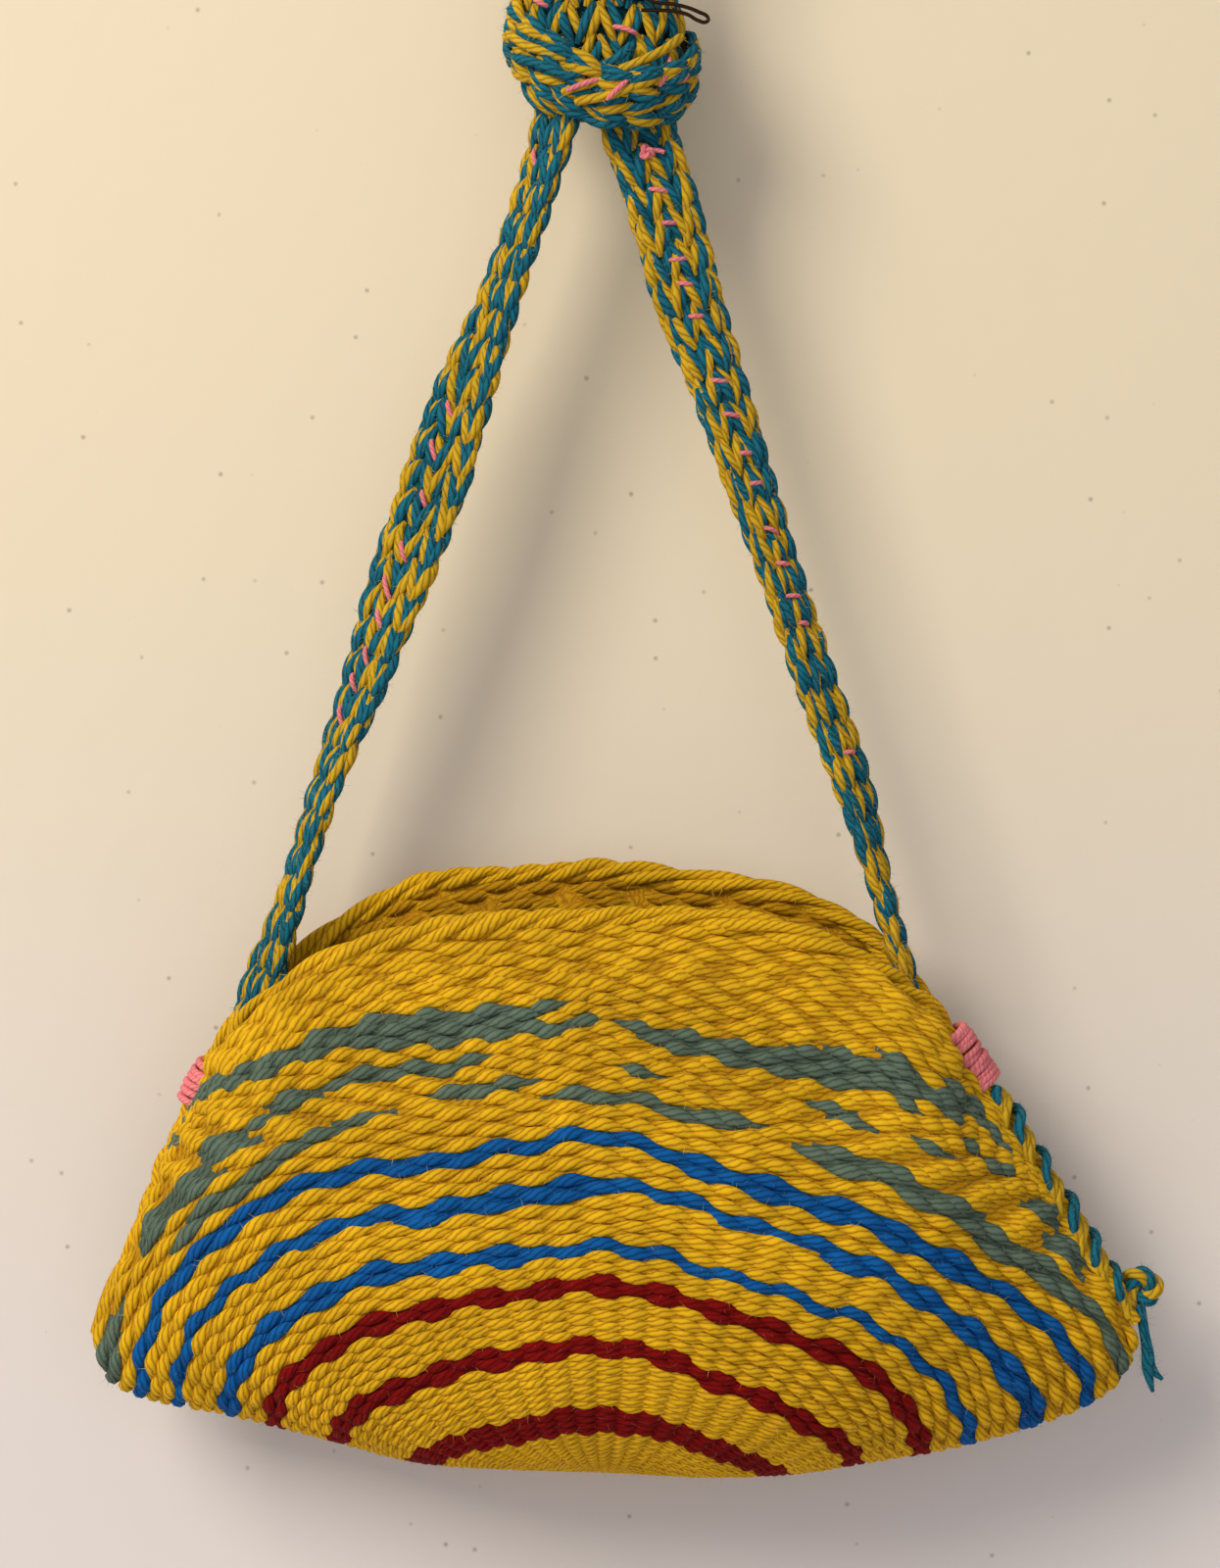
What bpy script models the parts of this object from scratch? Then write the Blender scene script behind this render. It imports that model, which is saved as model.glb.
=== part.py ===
"""A round woven cloth folded in half into a bag, hung by a knotted knitted strap.

Metres, +Z up, the bag's front towards -Y. The origin is the inside top of the hanging loop.
"""

import bisect
import math
from collections import namedtuple

import bmesh
import bpy
from mathutils import Vector

MM = 0.001

# Bag cloth
WALL = 4.0 * MM
BAG_ORIGIN = Vector((1.6 * MM, -3.0 * MM, -463.0 * MM))
MOUTH_LEFT = -107.0 * MM
MOUTH_RIGHT = 95.0 * MM
MOUTH_GAP = 22.0 * MM
MOUTH_SQUARENESS = 6.0
MOUTH_STEPS = 30
SIDE_STEPS = 8
CAVITY_LEFT = -124.0 * MM
CAVITY_RIGHT = 130.0 * MM
ARC_STEPS = 5
WALL_STEPS = 6
ARC_SHARE = 0.42
BELLY_OPEN = 0.32
BELLY_SHUT = 0.42
CLOSING_RUN = 40.0 * MM
RIM_CROWN = 1.6 * MM
RIM_FLARE = 1.0 * MM
RIM_SCALLOP = 0.9 * MM

# Strap
STRAP_THICKNESS = 5.6 * MM
STITCH = 9.6 * MM
RIB_RELIEF = 0.8 * MM
RIB_HIGH = 1.0
RIB_LOW = 0.35
GROOVE = -0.35
FACE_EDGE = -0.25
EDGE_SCALLOP = 0.9 * MM
LOOP_WIDTH = 16.0 * MM
LOOP_RADIUS = 12.0 * MM
LOOP_FOOT = -66.0 * MM
LOOP_SPREAD = 11.0 * MM

# Knot
KNOT_CENTRE = Vector((0.5 * MM, 0.0, -80.0 * MM))
KNOT_CORE = Vector((22.0 * MM, 14.0 * MM, 20.0 * MM))
CORE_SQUARENESS = 3.2
WRAP_REACH = Vector((23.0 * MM, 15.5 * MM, 0.0))
WRAP_WIDTH = 17.0 * MM
WRAP_THICKNESS = 6.4 * MM
WRAP_STEPS = 28
WRAP_LEAN = 0.6
CORE_LUMPS = 0.05

# Sewing
TACK_RADIUS = 2.9 * MM
TACK_LAY = 3.0 * MM
TACK_LOBE = 0.10
TACK_BREADTH = 1.5
TACK_LEFT = (-107.6 * MM, -113.6 * MM)
TACK_RIGHT = (95.4 * MM, 104.2 * MM)
SEAM_RADIUS = 2.2 * MM
SEAM_LAY = 11.0 * MM
SEAM_LOBE = 0.15
SEAM_BREADTH = 1.3
SEAM_START = 106.0 * MM
SEAM_END = 139.5 * MM
STEPS_A_TURN = 4
ROPE_SIDES = 10
TAIL_SIDES = 8
EDGE_FINENESS = 60
CLEARANCE = 0.35 * MM

# Pin, in mm
PIN_WIRE = 1.1 * MM
PIN_SHANK = ((14.5, -12.4, -67.2), (20.0, -11.9, -68.6), (26.0, -11.4, -71.0))
PIN_BEND = ((28.9, -11.2, -72.6), (29.3, -11.2, -73.7), (28.4, -11.3, -74.4))
PIN_RETURN = ((24.5, -11.6, -73.0), (18.5, -12.6, -71.0))

# Upright sections of the bag from left to right, in mm from the fold's middle: where the
# bottom and the two rims lie, and how far the front and the back bulge
Section = namedtuple("Section", "x keel front_top back_top front_depth back_depth")
BODY_SECTIONS = (
    Section(-138.5, 34.0, 39.0, 39.0, 3.0, 2.6),
    Section(-135.0, 27.5, 47.0, 47.0, 8.0, 6.5),
    Section(-126.0, 22.0, 68.0, 68.0, 14.0, 10.5),
    Section(-114.0, 19.0, 97.0, 97.0, 21.0, 15.0),
    Section(-103.0, 17.0, 120.0, 120.5, 26.0, 18.5),
    Section(-88.0, 13.5, 133.0, 136.0, 32.0, 22.5),
    Section(-70.0, 9.0, 142.5, 150.0, 38.0, 26.0),
    Section(-50.0, 4.0, 148.0, 160.5, 42.5, 29.0),
    Section(-25.0, 2.3, 151.5, 163.0, 45.5, 31.0),
    Section(0.0, 1.6, 152.5, 164.0, 46.5, 32.0),
    Section(27.0, 0.2, 152.5, 161.0, 46.0, 31.5),
    Section(50.0, 1.0, 148.0, 157.5, 43.5, 29.5),
    Section(70.0, 4.0, 140.0, 148.0, 38.5, 26.0),
    Section(84.0, 6.0, 131.0, 134.5, 33.0, 22.5),
    Section(93.0, 7.6, 120.5, 121.0, 29.0, 20.0),
    Section(105.0, 10.5, 103.5, 103.5, 23.5, 16.5),
    Section(118.0, 14.5, 82.5, 82.5, 18.0, 13.0),
    Section(130.0, 19.3, 63.5, 63.5, 13.0, 10.0),
    Section(138.0, 26.0, 52.0, 52.0, 9.0, 7.0),
    Section(141.5, 33.0, 45.0, 45.0, 5.0, 4.2),
    Section(142.8, 37.0, 41.0, 41.0, 3.0, 2.6),
)

# Middle line of each strap leg from its end inside the bag up into the knot, in mm, with
# the band's width and how far it turns from face-on, in degrees
Station = namedtuple("Station", "x y z width turn")
LEFT_LEG = (
    Station(-99.3, -3.0, -358.0, 10.5, 84.0),
    Station(-95.0, -3.0, -342.0, 10.5, 80.0),
    Station(-91.3, -2.5, -330.0, 11.0, 74.0),
    Station(-88.2, -2.0, -323.0, 12.5, 66.0),
    Station(-81.6, -0.5, -303.9, 14.0, 72.0),
    Station(-73.4, 0.0, -277.6, 14.0, 70.0),
    Station(-63.6, 0.0, -251.3, 14.5, 48.0),
    Station(-54.6, 0.0, -225.0, 16.5, 30.0),
    Station(-45.0, 0.0, -198.7, 17.5, 22.0),
    Station(-36.4, 0.0, -172.3, 17.0, 32.0),
    Station(-28.0, 0.0, -150.0, 15.5, 46.0),
    Station(-21.1, -1.0, -130.2, 15.0, 52.0),
    Station(-14.2, -2.0, -109.0, 15.0, 48.0),
    Station(-8.5, -2.0, -86.0, 14.0, 30.0),
)
RIGHT_LEG = (
    Station(95.6, -3.0, -362.0, 10.0, -88.0),
    Station(88.4, -3.0, -344.0, 10.0, -88.0),
    Station(85.2, -3.0, -333.5, 10.5, -86.0),
    Station(82.0, -2.5, -323.5, 12.0, -84.0),
    Station(75.0, -1.0, -303.9, 13.0, -76.0),
    Station(67.9, 0.0, -277.6, 14.0, -50.0),
    Station(58.4, 0.0, -251.3, 14.0, -42.0),
    Station(49.7, 0.0, -225.0, 13.0, -36.0),
    Station(41.0, 0.0, -198.7, 14.0, -26.0),
    Station(32.4, 0.0, -172.3, 15.5, -14.0),
    Station(23.2, -1.0, -146.0, 18.0, -8.0),
    Station(16.0, -2.0, -119.7, 19.0, -4.0),
    Station(10.0, -3.0, -102.0, 19.0, 0.0),
    Station(5.0, -2.0, -86.0, 17.0, 0.0),
)

# The wrapped band's height round the knot, in mm over the knot's middle, by compass turn
# from the right side, front first
Wrap = namedtuple("Wrap", "turn height")
KNOT_WRAP = (
    Wrap(0.0, -2.0),
    Wrap(45.0, -10.5),
    Wrap(90.0, -11.0),
    Wrap(135.0, -2.0),
    Wrap(180.0, 5.5),
    Wrap(225.0, 8.0),
    Wrap(270.0, 6.0),
    Wrap(315.0, 2.0),
    Wrap(360.0, -2.0),
)

# The seam's knot and the loose yarn end under it, in mm from the fold's middle
SEAM_KNOT = Vector((144.8, 0.0, 51.6)) * MM
SEAM_KNOT_SIZE = Vector((4.6, 4.4, 5.0)) * MM
Spot = namedtuple("Spot", "x z width")
TAIL_SPOTS = (
    Spot(146.2, 48.0, 3.0),
    Spot(147.6, 42.0, 2.6),
    Spot(146.6, 36.5, 2.8),
    Spot(148.6, 28.5, 4.0),
)

KNIT_TEAL = (0.035, 0.155, 0.200, 1.0)
WEAVE_YELLOW = (0.640, 0.400, 0.040, 1.0)
THREAD_PINK = (0.700, 0.190, 0.190, 1.0)
PIN_BRONZE = (0.050, 0.040, 0.032, 1.0)


def clear_scene():
    for old in list(bpy.data.objects):
        bpy.data.objects.remove(old, do_unlink=True)


def material(name, colour, roughness, metallic=0.0):
    made = bpy.data.materials.new(name)
    made.use_nodes = True
    shader = made.node_tree.nodes["Principled BSDF"]
    shader.inputs["Base Color"].default_value = colour
    shader.inputs["Roughness"].default_value = roughness
    shader.inputs["Metallic"].default_value = metallic
    made.diffuse_color = colour
    return made


def add_object(name, mesh, finish):
    made = bpy.data.objects.new(name, mesh)
    bpy.context.scene.collection.objects.link(made)
    mesh.materials.append(finish)
    mesh.shade_smooth()
    return made


def slope(table, column, key, i):
    """Slope of a column at row i, for a smooth curve through the rows."""
    before = table[max(i - 1, 0)]
    after = table[min(i + 1, len(table) - 1)]
    run = getattr(after, key) - getattr(before, key)
    return (getattr(after, column) - getattr(before, column)) / run


def read(table, column, key, at):
    """The column's value where the key column has the value at, on a smooth curve."""
    i = 0
    while i < len(table) - 2 and getattr(table[i + 1], key) < at:
        i += 1
    low, high = table[i], table[i + 1]
    span = getattr(high, key) - getattr(low, key)
    t = min(max((at - getattr(low, key)) / span, 0.0), 1.0)
    m0 = slope(table, column, key, i) * span
    m1 = slope(table, column, key, i + 1) * span
    a, b = getattr(low, column), getattr(high, column)
    lift = t * t * (3 - 2 * t)
    return a + (b - a) * lift + m0 * t * (1 - t) ** 2 - m1 * t * t * (1 - t)


def body_value(column, x):
    return read(BODY_SECTIONS, column, "x", x / MM) * MM


def mouth_gap(x):
    """Clear width of the mouth at x, nought outside it."""
    middle = (MOUTH_LEFT + MOUTH_RIGHT) / 2
    half = (MOUTH_RIGHT - MOUTH_LEFT) / 2
    share = min(abs(x - middle) / half, 1.0)
    return MOUTH_GAP * math.sqrt(1 - share**MOUTH_SQUARENESS)


def closing(x):
    """Nought where the mouth stands open, rising to one at its corners and past them."""
    reach = max(MOUTH_LEFT + CLOSING_RUN - x, x - MOUTH_RIGHT + CLOSING_RUN, 0.0)
    share = min(reach / CLOSING_RUN, 1.0)
    return share * share * (3 - 2 * share)


def wall_point(x, side, t, inset, shut):
    """A point of the front (side -1) or back (side 1) wall, t from the keel to the rim."""
    name = "front" if side < 0 else "back"
    close = closing(x)
    depth = body_value(name + "_depth", x) - inset
    keel = body_value("keel", x) + inset
    top = body_value(name + "_top", x) - (2.0 * inset if shut else 0.0)
    height = top - keel
    belly = height * (BELLY_OPEN + (BELLY_SHUT - BELLY_OPEN) * close)
    if t < ARC_SHARE:
        turn = t / ARC_SHARE * math.pi / 2
        return Vector((x, side * depth * math.sin(turn), keel + belly * (1 - math.cos(turn))))
    s = (t - ARC_SHARE) / (1 - ARC_SHARE)
    lip = 0.0 if shut else mouth_gap(x) / 2 + WALL - inset
    ease = s * s * (3 - 2 * s)
    flare = RIM_FLARE * s**8 * (1.0 if inset == 0 and not shut else 0.0)
    upright = depth + (lip - depth) * ease + flare
    rounded = lip + (depth - lip) * math.sqrt(max(1 - s * s, 0.0))
    y = upright + (rounded - upright) * close
    return Vector((x, side * y, keel + belly + (height - belly) * s))


def scallop(i, side):
    """Alternate steps of the rim stand high and low, unevenly."""
    uneven = 0.65 + 0.35 * math.sin(2.3 * i + side)
    return RIM_SCALLOP * uneven * (1 if i % 2 else -1)


def around():
    """Steps from the front rim down to the keel and up to the back rim: (side, t)."""
    falls = [ARC_SHARE * i / ARC_STEPS for i in range(ARC_STEPS)]
    shares = [math.sin(math.pi / 2 * i / WALL_STEPS) for i in range(WALL_STEPS + 1)]
    climbs = [ARC_SHARE + (1 - ARC_SHARE) * share for share in shares]
    half = falls + climbs
    front = [(-1, t) for t in reversed(half)]
    back = [(1, t) for t in half[1:]]
    return front + back


def body_stations():
    """x of each section: even steps over the mouth, and closer ones towards both ends."""
    step = (MOUTH_RIGHT - MOUTH_LEFT) / MOUTH_STEPS
    mouth = [MOUTH_LEFT + step * i for i in range(MOUTH_STEPS + 1)]
    left_end = BODY_SECTIONS[0].x * MM
    right_end = BODY_SECTIONS[-1].x * MM
    shares = [math.sin(math.pi / 2 * i / SIDE_STEPS) for i in range(1, SIDE_STEPS + 1)]
    left = [MOUTH_LEFT + (left_end - MOUTH_LEFT) * share for share in reversed(shares)]
    right = [MOUTH_RIGHT + (right_end - MOUTH_RIGHT) * share for share in shares]
    return left + mouth + right


def body_column(mesh, x, inset, shut, lift):
    """The vertices of one section. A shut one shares its top between front and back."""
    points = []
    for side, t in around():
        point = wall_point(x, side, t, inset, shut)
        if not shut:
            point.z += lift(side) * max(0.0, (t - 0.85) / 0.15)
        points.append(point + BAG_ORIGIN)
    if not shut:
        return [mesh.verts.new(point) for point in points]
    top = mesh.verts.new((points[0] + points[-1]) / 2)
    return [top] + [mesh.verts.new(point) for point in points[1:-1]] + [top]


def skin(mesh, columns, outward):
    for left, right in zip(columns, columns[1:]):
        for j in range(len(left) - 1):
            corners = [left[j], left[j + 1], right[j + 1], right[j]]
            loop = list(dict.fromkeys(corners))
            mesh.faces.new(loop if outward else loop[::-1])


def cap(mesh, column, outward):
    loop = column[:-1] if column[0] is column[-1] else column
    mesh.faces.new(loop if outward else loop[::-1])


def build_body(finish):
    mesh = bmesh.new()
    xs = body_stations()
    first_open = SIDE_STEPS + 1
    last_open = SIDE_STEPS + MOUTH_STEPS - 1
    outer, inner, inner_at = [], [], {}
    for i, x in enumerate(xs):
        shut = not first_open <= i <= last_open

        def lift(side, i=i):
            return scallop(i, side)

        outer.append(body_column(mesh, x, 0.0, shut, lift))
        if CAVITY_LEFT < x < CAVITY_RIGHT:
            inner_at[i] = len(inner)
            inner.append(body_column(mesh, x, WALL, shut, lift))
    skin(mesh, outer, True)
    skin(mesh, inner, False)
    cap(mesh, outer[0], False)
    cap(mesh, outer[-1], True)
    cap(mesh, inner[0], True)
    cap(mesh, inner[-1], False)
    for end, side in ((0, -1), (-1, 1)):
        crowns = {}
        for i in range(first_open, last_open + 1):
            high = (outer[i][end].co + inner[inner_at[i]][end].co) / 2
            crowns[i] = mesh.verts.new(high + Vector((0.0, 0.0, RIM_CROWN)))
        for i in range(first_open - 1, last_open + 1):
            a, b = outer[i][end], outer[i + 1][end]
            c, d = inner[inner_at[i + 1]][end], inner[inner_at[i]][end]
            p, q = crowns.get(i), crowns.get(i + 1)
            outside = [v for v in (a, b, q, p) if v]
            inside = [v for v in (p, q, c, d) if v]
            if p is None:
                outside, inside = [a, b, q, d], [d, q, c]
            if q is None:
                outside, inside = [a, b, c, p], [p, c, d]
            for face in (outside, inside):
                mesh.faces.new(face[::-1] if side < 0 else face)
    data = bpy.data.meshes.new("bag_body")
    bmesh.ops.recalc_face_normals(mesh, faces=mesh.faces)
    mesh.to_mesh(data)
    mesh.free()
    return add_object("bag_body", data, finish)


def tube_mesh(name, rings):
    """A closed tube through rings of points, with flat ends."""
    mesh = bmesh.new()
    columns = [[mesh.verts.new(point) for point in ring] for ring in rings]
    for low, high in zip(columns, columns[1:]):
        for j, vertex in enumerate(low):
            following = (j + 1) % len(low)
            mesh.faces.new((vertex, low[following], high[following], high[j]))
    mesh.faces.new(columns[0][::-1])
    mesh.faces.new(columns[-1])
    bmesh.ops.recalc_face_normals(mesh, faces=mesh.faces)
    data = bpy.data.meshes.new(name)
    mesh.to_mesh(data)
    mesh.free()
    return data


def band_ring(centre, across, outward, width, thickness, step):
    """One section of the knitted band: three ribs on each face and scalloped edges."""
    high, middle = (RIB_HIGH, RIB_LOW) if step % 2 else (RIB_LOW, RIB_HIGH)
    half = width / 2 + (EDGE_SCALLOP if step % 2 else 0.0) - EDGE_SCALLOP / 2
    face = thickness / 2 - RIB_RELIEF / 2
    ribs = (
        (-0.80, FACE_EDGE),
        (-0.55, high),
        (-0.28, GROOVE),
        (0.0, middle),
        (0.28, GROOVE),
        (0.55, high),
        (0.80, FACE_EDGE),
    )
    ring = [centre - across * half]
    ring += [centre + across * half * u + outward * (face + RIB_RELIEF * r) for u, r in ribs]
    ring.append(centre + across * half)
    ring += [
        centre + across * half * u - outward * (face + RIB_RELIEF * r)
        for u, r in reversed(ribs)
    ]
    return ring


def station_at(table, share):
    """The leg's middle, width and turn at a share of its height."""
    z = table[0].z + (table[-1].z - table[0].z) * share
    x, y, width, turn = (read(table, name, "z", z) for name in ("x", "y", "width", "turn"))
    return Vector((x, y, z)) * MM, width * MM, math.radians(turn)


def leg_rings(table):
    length = math.dist((table[0].x, table[0].z), (table[-1].x, table[-1].z)) * MM
    count = 2 * round(length / STITCH)
    rings = []
    for i in range(count + 1):
        centre, width, turn = station_at(table, i / count)
        ahead = station_at(table, min(i / count + 0.01, 1.0))[0]
        behind = station_at(table, max(i / count - 0.01, 0.0))[0]
        along = (ahead - behind).normalized()
        flat = along.cross(Vector((0.0, 1.0, 0.0))).normalized()
        across = flat * math.cos(turn) + flat.cross(along) * math.sin(turn)
        rings.append(band_ring(centre, across, across.cross(along), width, STRAP_THICKNESS, i))
    return rings


def loop_rings():
    """Up from the knot's left half, over the top and down into its right half."""
    top = STRAP_THICKNESS / 2 - LOOP_RADIUS
    foot_height = top - LOOP_FOOT
    leg_steps = 2 * round(foot_height / STITCH)
    arc_steps = 2 * round(math.pi * LOOP_RADIUS / STITCH)
    route = []
    for i in range(leg_steps):
        share = i / leg_steps
        x = LOOP_SPREAD + (LOOP_RADIUS - LOOP_SPREAD) * share
        route.append((Vector((-x, 0.0, LOOP_FOOT + foot_height * share)), share))
    for i in range(arc_steps + 1):
        turn = math.pi * i / arc_steps
        x, z = -LOOP_RADIUS * math.cos(turn), top + LOOP_RADIUS * math.sin(turn)
        route.append((Vector((x, 0.0, z)), 1.0))
    for point, share in reversed(route[:leg_steps]):
        route.append((Vector((-point.x, point.y, point.z)), share))
    rings = []
    for i, (centre, share) in enumerate(route):
        ahead = route[min(i + 1, len(route) - 1)][0]
        behind = route[max(i - 1, 0)][0]
        along = (ahead - behind).normalized()
        flat = along.cross(Vector((0.0, 1.0, 0.0))).normalized()
        turn = math.pi / 2 * share * share * (3 - 2 * share)
        across = flat * math.cos(turn) + Vector((0.0, 1.0, 0.0)) * math.sin(turn)
        outward = across.cross(along).normalized()
        rings.append(band_ring(centre, across, outward, LOOP_WIDTH, STRAP_THICKNESS, i))
    return rings


def knot_core():
    """The tightened middle of the knot: a lumpy ball."""
    mesh = bmesh.new()
    bmesh.ops.create_uvsphere(mesh, u_segments=20, v_segments=12, radius=1.0)
    for vertex in mesh.verts:
        spot = vertex.co.copy()
        square = sum(abs(a) ** CORE_SQUARENESS for a in spot) ** (-1 / CORE_SQUARENESS)
        lump = square * (1.0 + CORE_LUMPS * math.sin(5 * spot.x + 1) * math.cos(6 * spot.z))
        grown = Vector(a * b for a, b in zip(spot * lump, KNOT_CORE))
        vertex.co = grown + KNOT_CENTRE
    data = bpy.data.meshes.new("knot_core")
    mesh.to_mesh(data)
    mesh.free()
    return data


def wrap_point(turn):
    angle = math.radians(turn)
    height = read(KNOT_WRAP, "height", "turn", turn) * MM
    swing = Vector((WRAP_REACH.x * math.cos(angle), -WRAP_REACH.y * math.sin(angle), height))
    return KNOT_CENTRE + swing


def knot_wrap():
    """The band drawn round the knot, low in front on the right and high on the left."""
    mesh = bmesh.new()
    columns = []
    for i in range(WRAP_STEPS):
        turn = 360.0 * i / WRAP_STEPS
        centre = wrap_point(turn)
        along = (wrap_point((turn + 4) % 360) - wrap_point((turn - 4) % 360)).normalized()
        outward = centre - KNOT_CENTRE
        outward.z *= WRAP_LEAN
        outward = (outward - along * outward.dot(along)).normalized()
        across = along.cross(outward)
        ring = band_ring(centre, across, outward, WRAP_WIDTH, WRAP_THICKNESS, i)
        columns.append([mesh.verts.new(point) for point in ring])
    for i, low in enumerate(columns):
        high = columns[(i + 1) % WRAP_STEPS]
        for j, vertex in enumerate(low):
            following = (j + 1) % len(low)
            mesh.faces.new((vertex, low[following], high[following], high[j]))
    bmesh.ops.recalc_face_normals(mesh, faces=mesh.faces)
    data = bpy.data.meshes.new("knot_wrap")
    mesh.to_mesh(data)
    mesh.free()
    return data


def join_by_union(whole, piece_mesh, finish):
    """Joins a closed mesh to an object with a Boolean union that stays as a modifier."""
    helper = add_object(piece_mesh.name, piece_mesh, finish)
    helper.hide_render = True
    helper.display_type = "WIRE"
    union = whole.modifiers.new("union_" + piece_mesh.name, "BOOLEAN")
    union.operation = "UNION"
    union.solver = "EXACT"
    union.object = helper


def islands(mesh):
    """The mesh's vertices in connected groups."""
    left = set(mesh.verts)
    groups = []
    while left:
        group, front = set(), [left.pop()]
        while front:
            vertex = front.pop()
            group.add(vertex)
            for edge in vertex.link_edges:
                other = edge.other_vert(vertex)
                if other in left:
                    left.remove(other)
                    front.append(other)
        groups.append(group)
    return groups


def close_pockets(whole, finish):
    """Settles the unions and fills the pockets that they shut in, leaving the outer skin."""
    bpy.context.view_layer.update()
    graph = bpy.context.evaluated_depsgraph_get()
    data = bpy.data.meshes.new_from_object(whole.evaluated_get(graph))
    mesh = bmesh.new()
    mesh.from_mesh(data)
    groups = sorted(islands(mesh), key=len)
    for group in groups[:-1]:
        bmesh.ops.delete(mesh, geom=list(group), context="VERTS")
    mesh.to_mesh(data)
    mesh.free()
    for union in list(whole.modifiers):
        bpy.data.objects.remove(union.object, do_unlink=True)
        whole.modifiers.remove(union)
    whole.data = data
    data.materials.clear()
    data.materials.append(finish)
    data.shade_smooth()


def build_strap(finish):
    strap = add_object("strap", knot_core(), finish)
    join_by_union(strap, tube_mesh("left_leg", leg_rings(LEFT_LEG)), finish)
    join_by_union(strap, tube_mesh("right_leg", leg_rings(RIGHT_LEG)), finish)
    join_by_union(strap, tube_mesh("hang_loop", loop_rings()), finish)
    join_by_union(strap, knot_wrap(), finish)
    close_pockets(strap, finish)
    return strap


def edge_route(start, end, steps):
    """Even steps along the bag's shut side edge from x start to x end: (point, outward)."""
    fine = [start + (end - start) * i / EDGE_FINENESS for i in range(EDGE_FINENESS + 1)]
    edge = [Vector((x, 0.0, body_value("front_top", x))) for x in fine]
    run = [0.0]
    for low, high in zip(edge, edge[1:]):
        run.append(run[-1] + (high - low).length)
    route = []
    for i in range(steps + 1):
        goal = run[-1] * i / steps
        j = min(max(bisect.bisect_left(run, goal), 1), len(run) - 1)
        t = (goal - run[j - 1]) / (run[j] - run[j - 1])
        along = (edge[j] - edge[j - 1]).normalized()
        away = Vector((-along.z, 0.0, along.x))
        route.append((edge[j - 1].lerp(edge[j], t), away if away.z > 0 else -away))
    return route, run[-1]


def edge_rope(name, start, end, radius, lay, lobe, stretch):
    """A wound rope on the bag's side edge, from x start to x end."""
    length = edge_route(start, end, 2)[1]
    turns = length / lay
    steps = round(turns * STEPS_A_TURN)
    rings = []
    for i, (point, away) in enumerate(edge_route(start, end, steps)[0]):
        share = i / steps
        taper = min(share, 1 - share) * length / (2 * radius)
        plump = 0.5 + 0.5 * math.sqrt(1 - (1 - min(taper, 1.0)) ** 2)
        reach = radius * (1 + lobe) + CLEARANCE
        centre = BAG_ORIGIN + point + away * reach
        ring = []
        for j in range(ROPE_SIDES):
            angle = 2 * math.pi * j / ROPE_SIDES
            grow = 1.0 + lobe * math.cos(2 * angle - 2 * math.pi * turns * share)
            aside = Vector((0.0, stretch * math.sin(angle), 0.0))
            ring.append(centre + (away * math.cos(angle) + aside) * radius * plump * grow)
        rings.append(ring)
    return tube_mesh(name, rings)


def build_tack(name, start, end, finish):
    """A bar of close wrapped stitches that shuts a corner of the mouth."""
    data = edge_rope(name, start, end, TACK_RADIUS, TACK_LAY, TACK_LOBE, TACK_BREADTH)
    return add_object(name, data, finish)


def ball(name, centre, radii):
    mesh = bmesh.new()
    bmesh.ops.create_icosphere(mesh, subdivisions=2, radius=1.0)
    for vertex in mesh.verts:
        vertex.co = Vector(a * b for a, b in zip(vertex.co, radii)) + centre
    data = bpy.data.meshes.new(name)
    mesh.to_mesh(data)
    mesh.free()
    return data


def tail_mesh():
    """The loose yarn end under the seam's knot, widening where it frays."""
    rings = []
    for spot in TAIL_SPOTS:
        centre = BAG_ORIGIN + Vector((spot.x, 0.0, spot.z)) * MM
        ring = []
        for j in range(TAIL_SIDES):
            angle = 2 * math.pi * j / TAIL_SIDES
            spoke = Vector((math.cos(angle), math.sin(angle), 0.0))
            ring.append(centre + spoke * spot.width / 2 * MM)
        rings.append(ring)
    return tube_mesh("seam_tail", rings)


def build_seam(finish):
    name = "seam_yarn"
    data = edge_rope(name, SEAM_START, SEAM_END, SEAM_RADIUS, SEAM_LAY, SEAM_LOBE, SEAM_BREADTH)
    seam = add_object(name, data, finish)
    join_by_union(seam, ball("seam_knot", BAG_ORIGIN + SEAM_KNOT, SEAM_KNOT_SIZE), finish)
    join_by_union(seam, tail_mesh(), finish)
    return seam


def build_pin(finish):
    """The bent end of a wire pin, lying against the knot's right side."""
    route = bpy.data.curves.new("pin", "CURVE")
    route.dimensions = "3D"
    route.bevel_depth = PIN_WIRE / 2
    route.bevel_resolution = 2
    route.use_fill_caps = True
    places = PIN_SHANK + PIN_BEND + PIN_RETURN
    spline = route.splines.new("POLY")
    spline.points.add(len(places) - 1)
    for point, place in zip(spline.points, places):
        point.co = (*(Vector(place) * MM), 1.0)
    made = bpy.data.objects.new("pin", route)
    bpy.context.scene.collection.objects.link(made)
    route.materials.append(finish)
    return made


def main():
    clear_scene()
    weave = material("woven_yellow_yarn", WEAVE_YELLOW, 0.9)
    knit = material("knitted_teal_yarn", KNIT_TEAL, 0.9)
    thread = material("pink_thread", THREAD_PINK, 0.8)
    wire = material("bronzed_wire", PIN_BRONZE, 0.4, 1.0)
    build_body(weave)
    build_strap(knit)
    build_tack("tack_left", *TACK_LEFT, thread)
    build_tack("tack_right", *TACK_RIGHT, thread)
    build_seam(knit)
    build_pin(wire)


main()
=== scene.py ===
"""Looks for a round woven yarn bag, folded in half and hung by a knotted knitted strap.

Run as a script in Blender 4.5 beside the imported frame. Metres, +Z up, the front towards -Y.
"""

import math
from collections import namedtuple
from itertools import product

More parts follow.
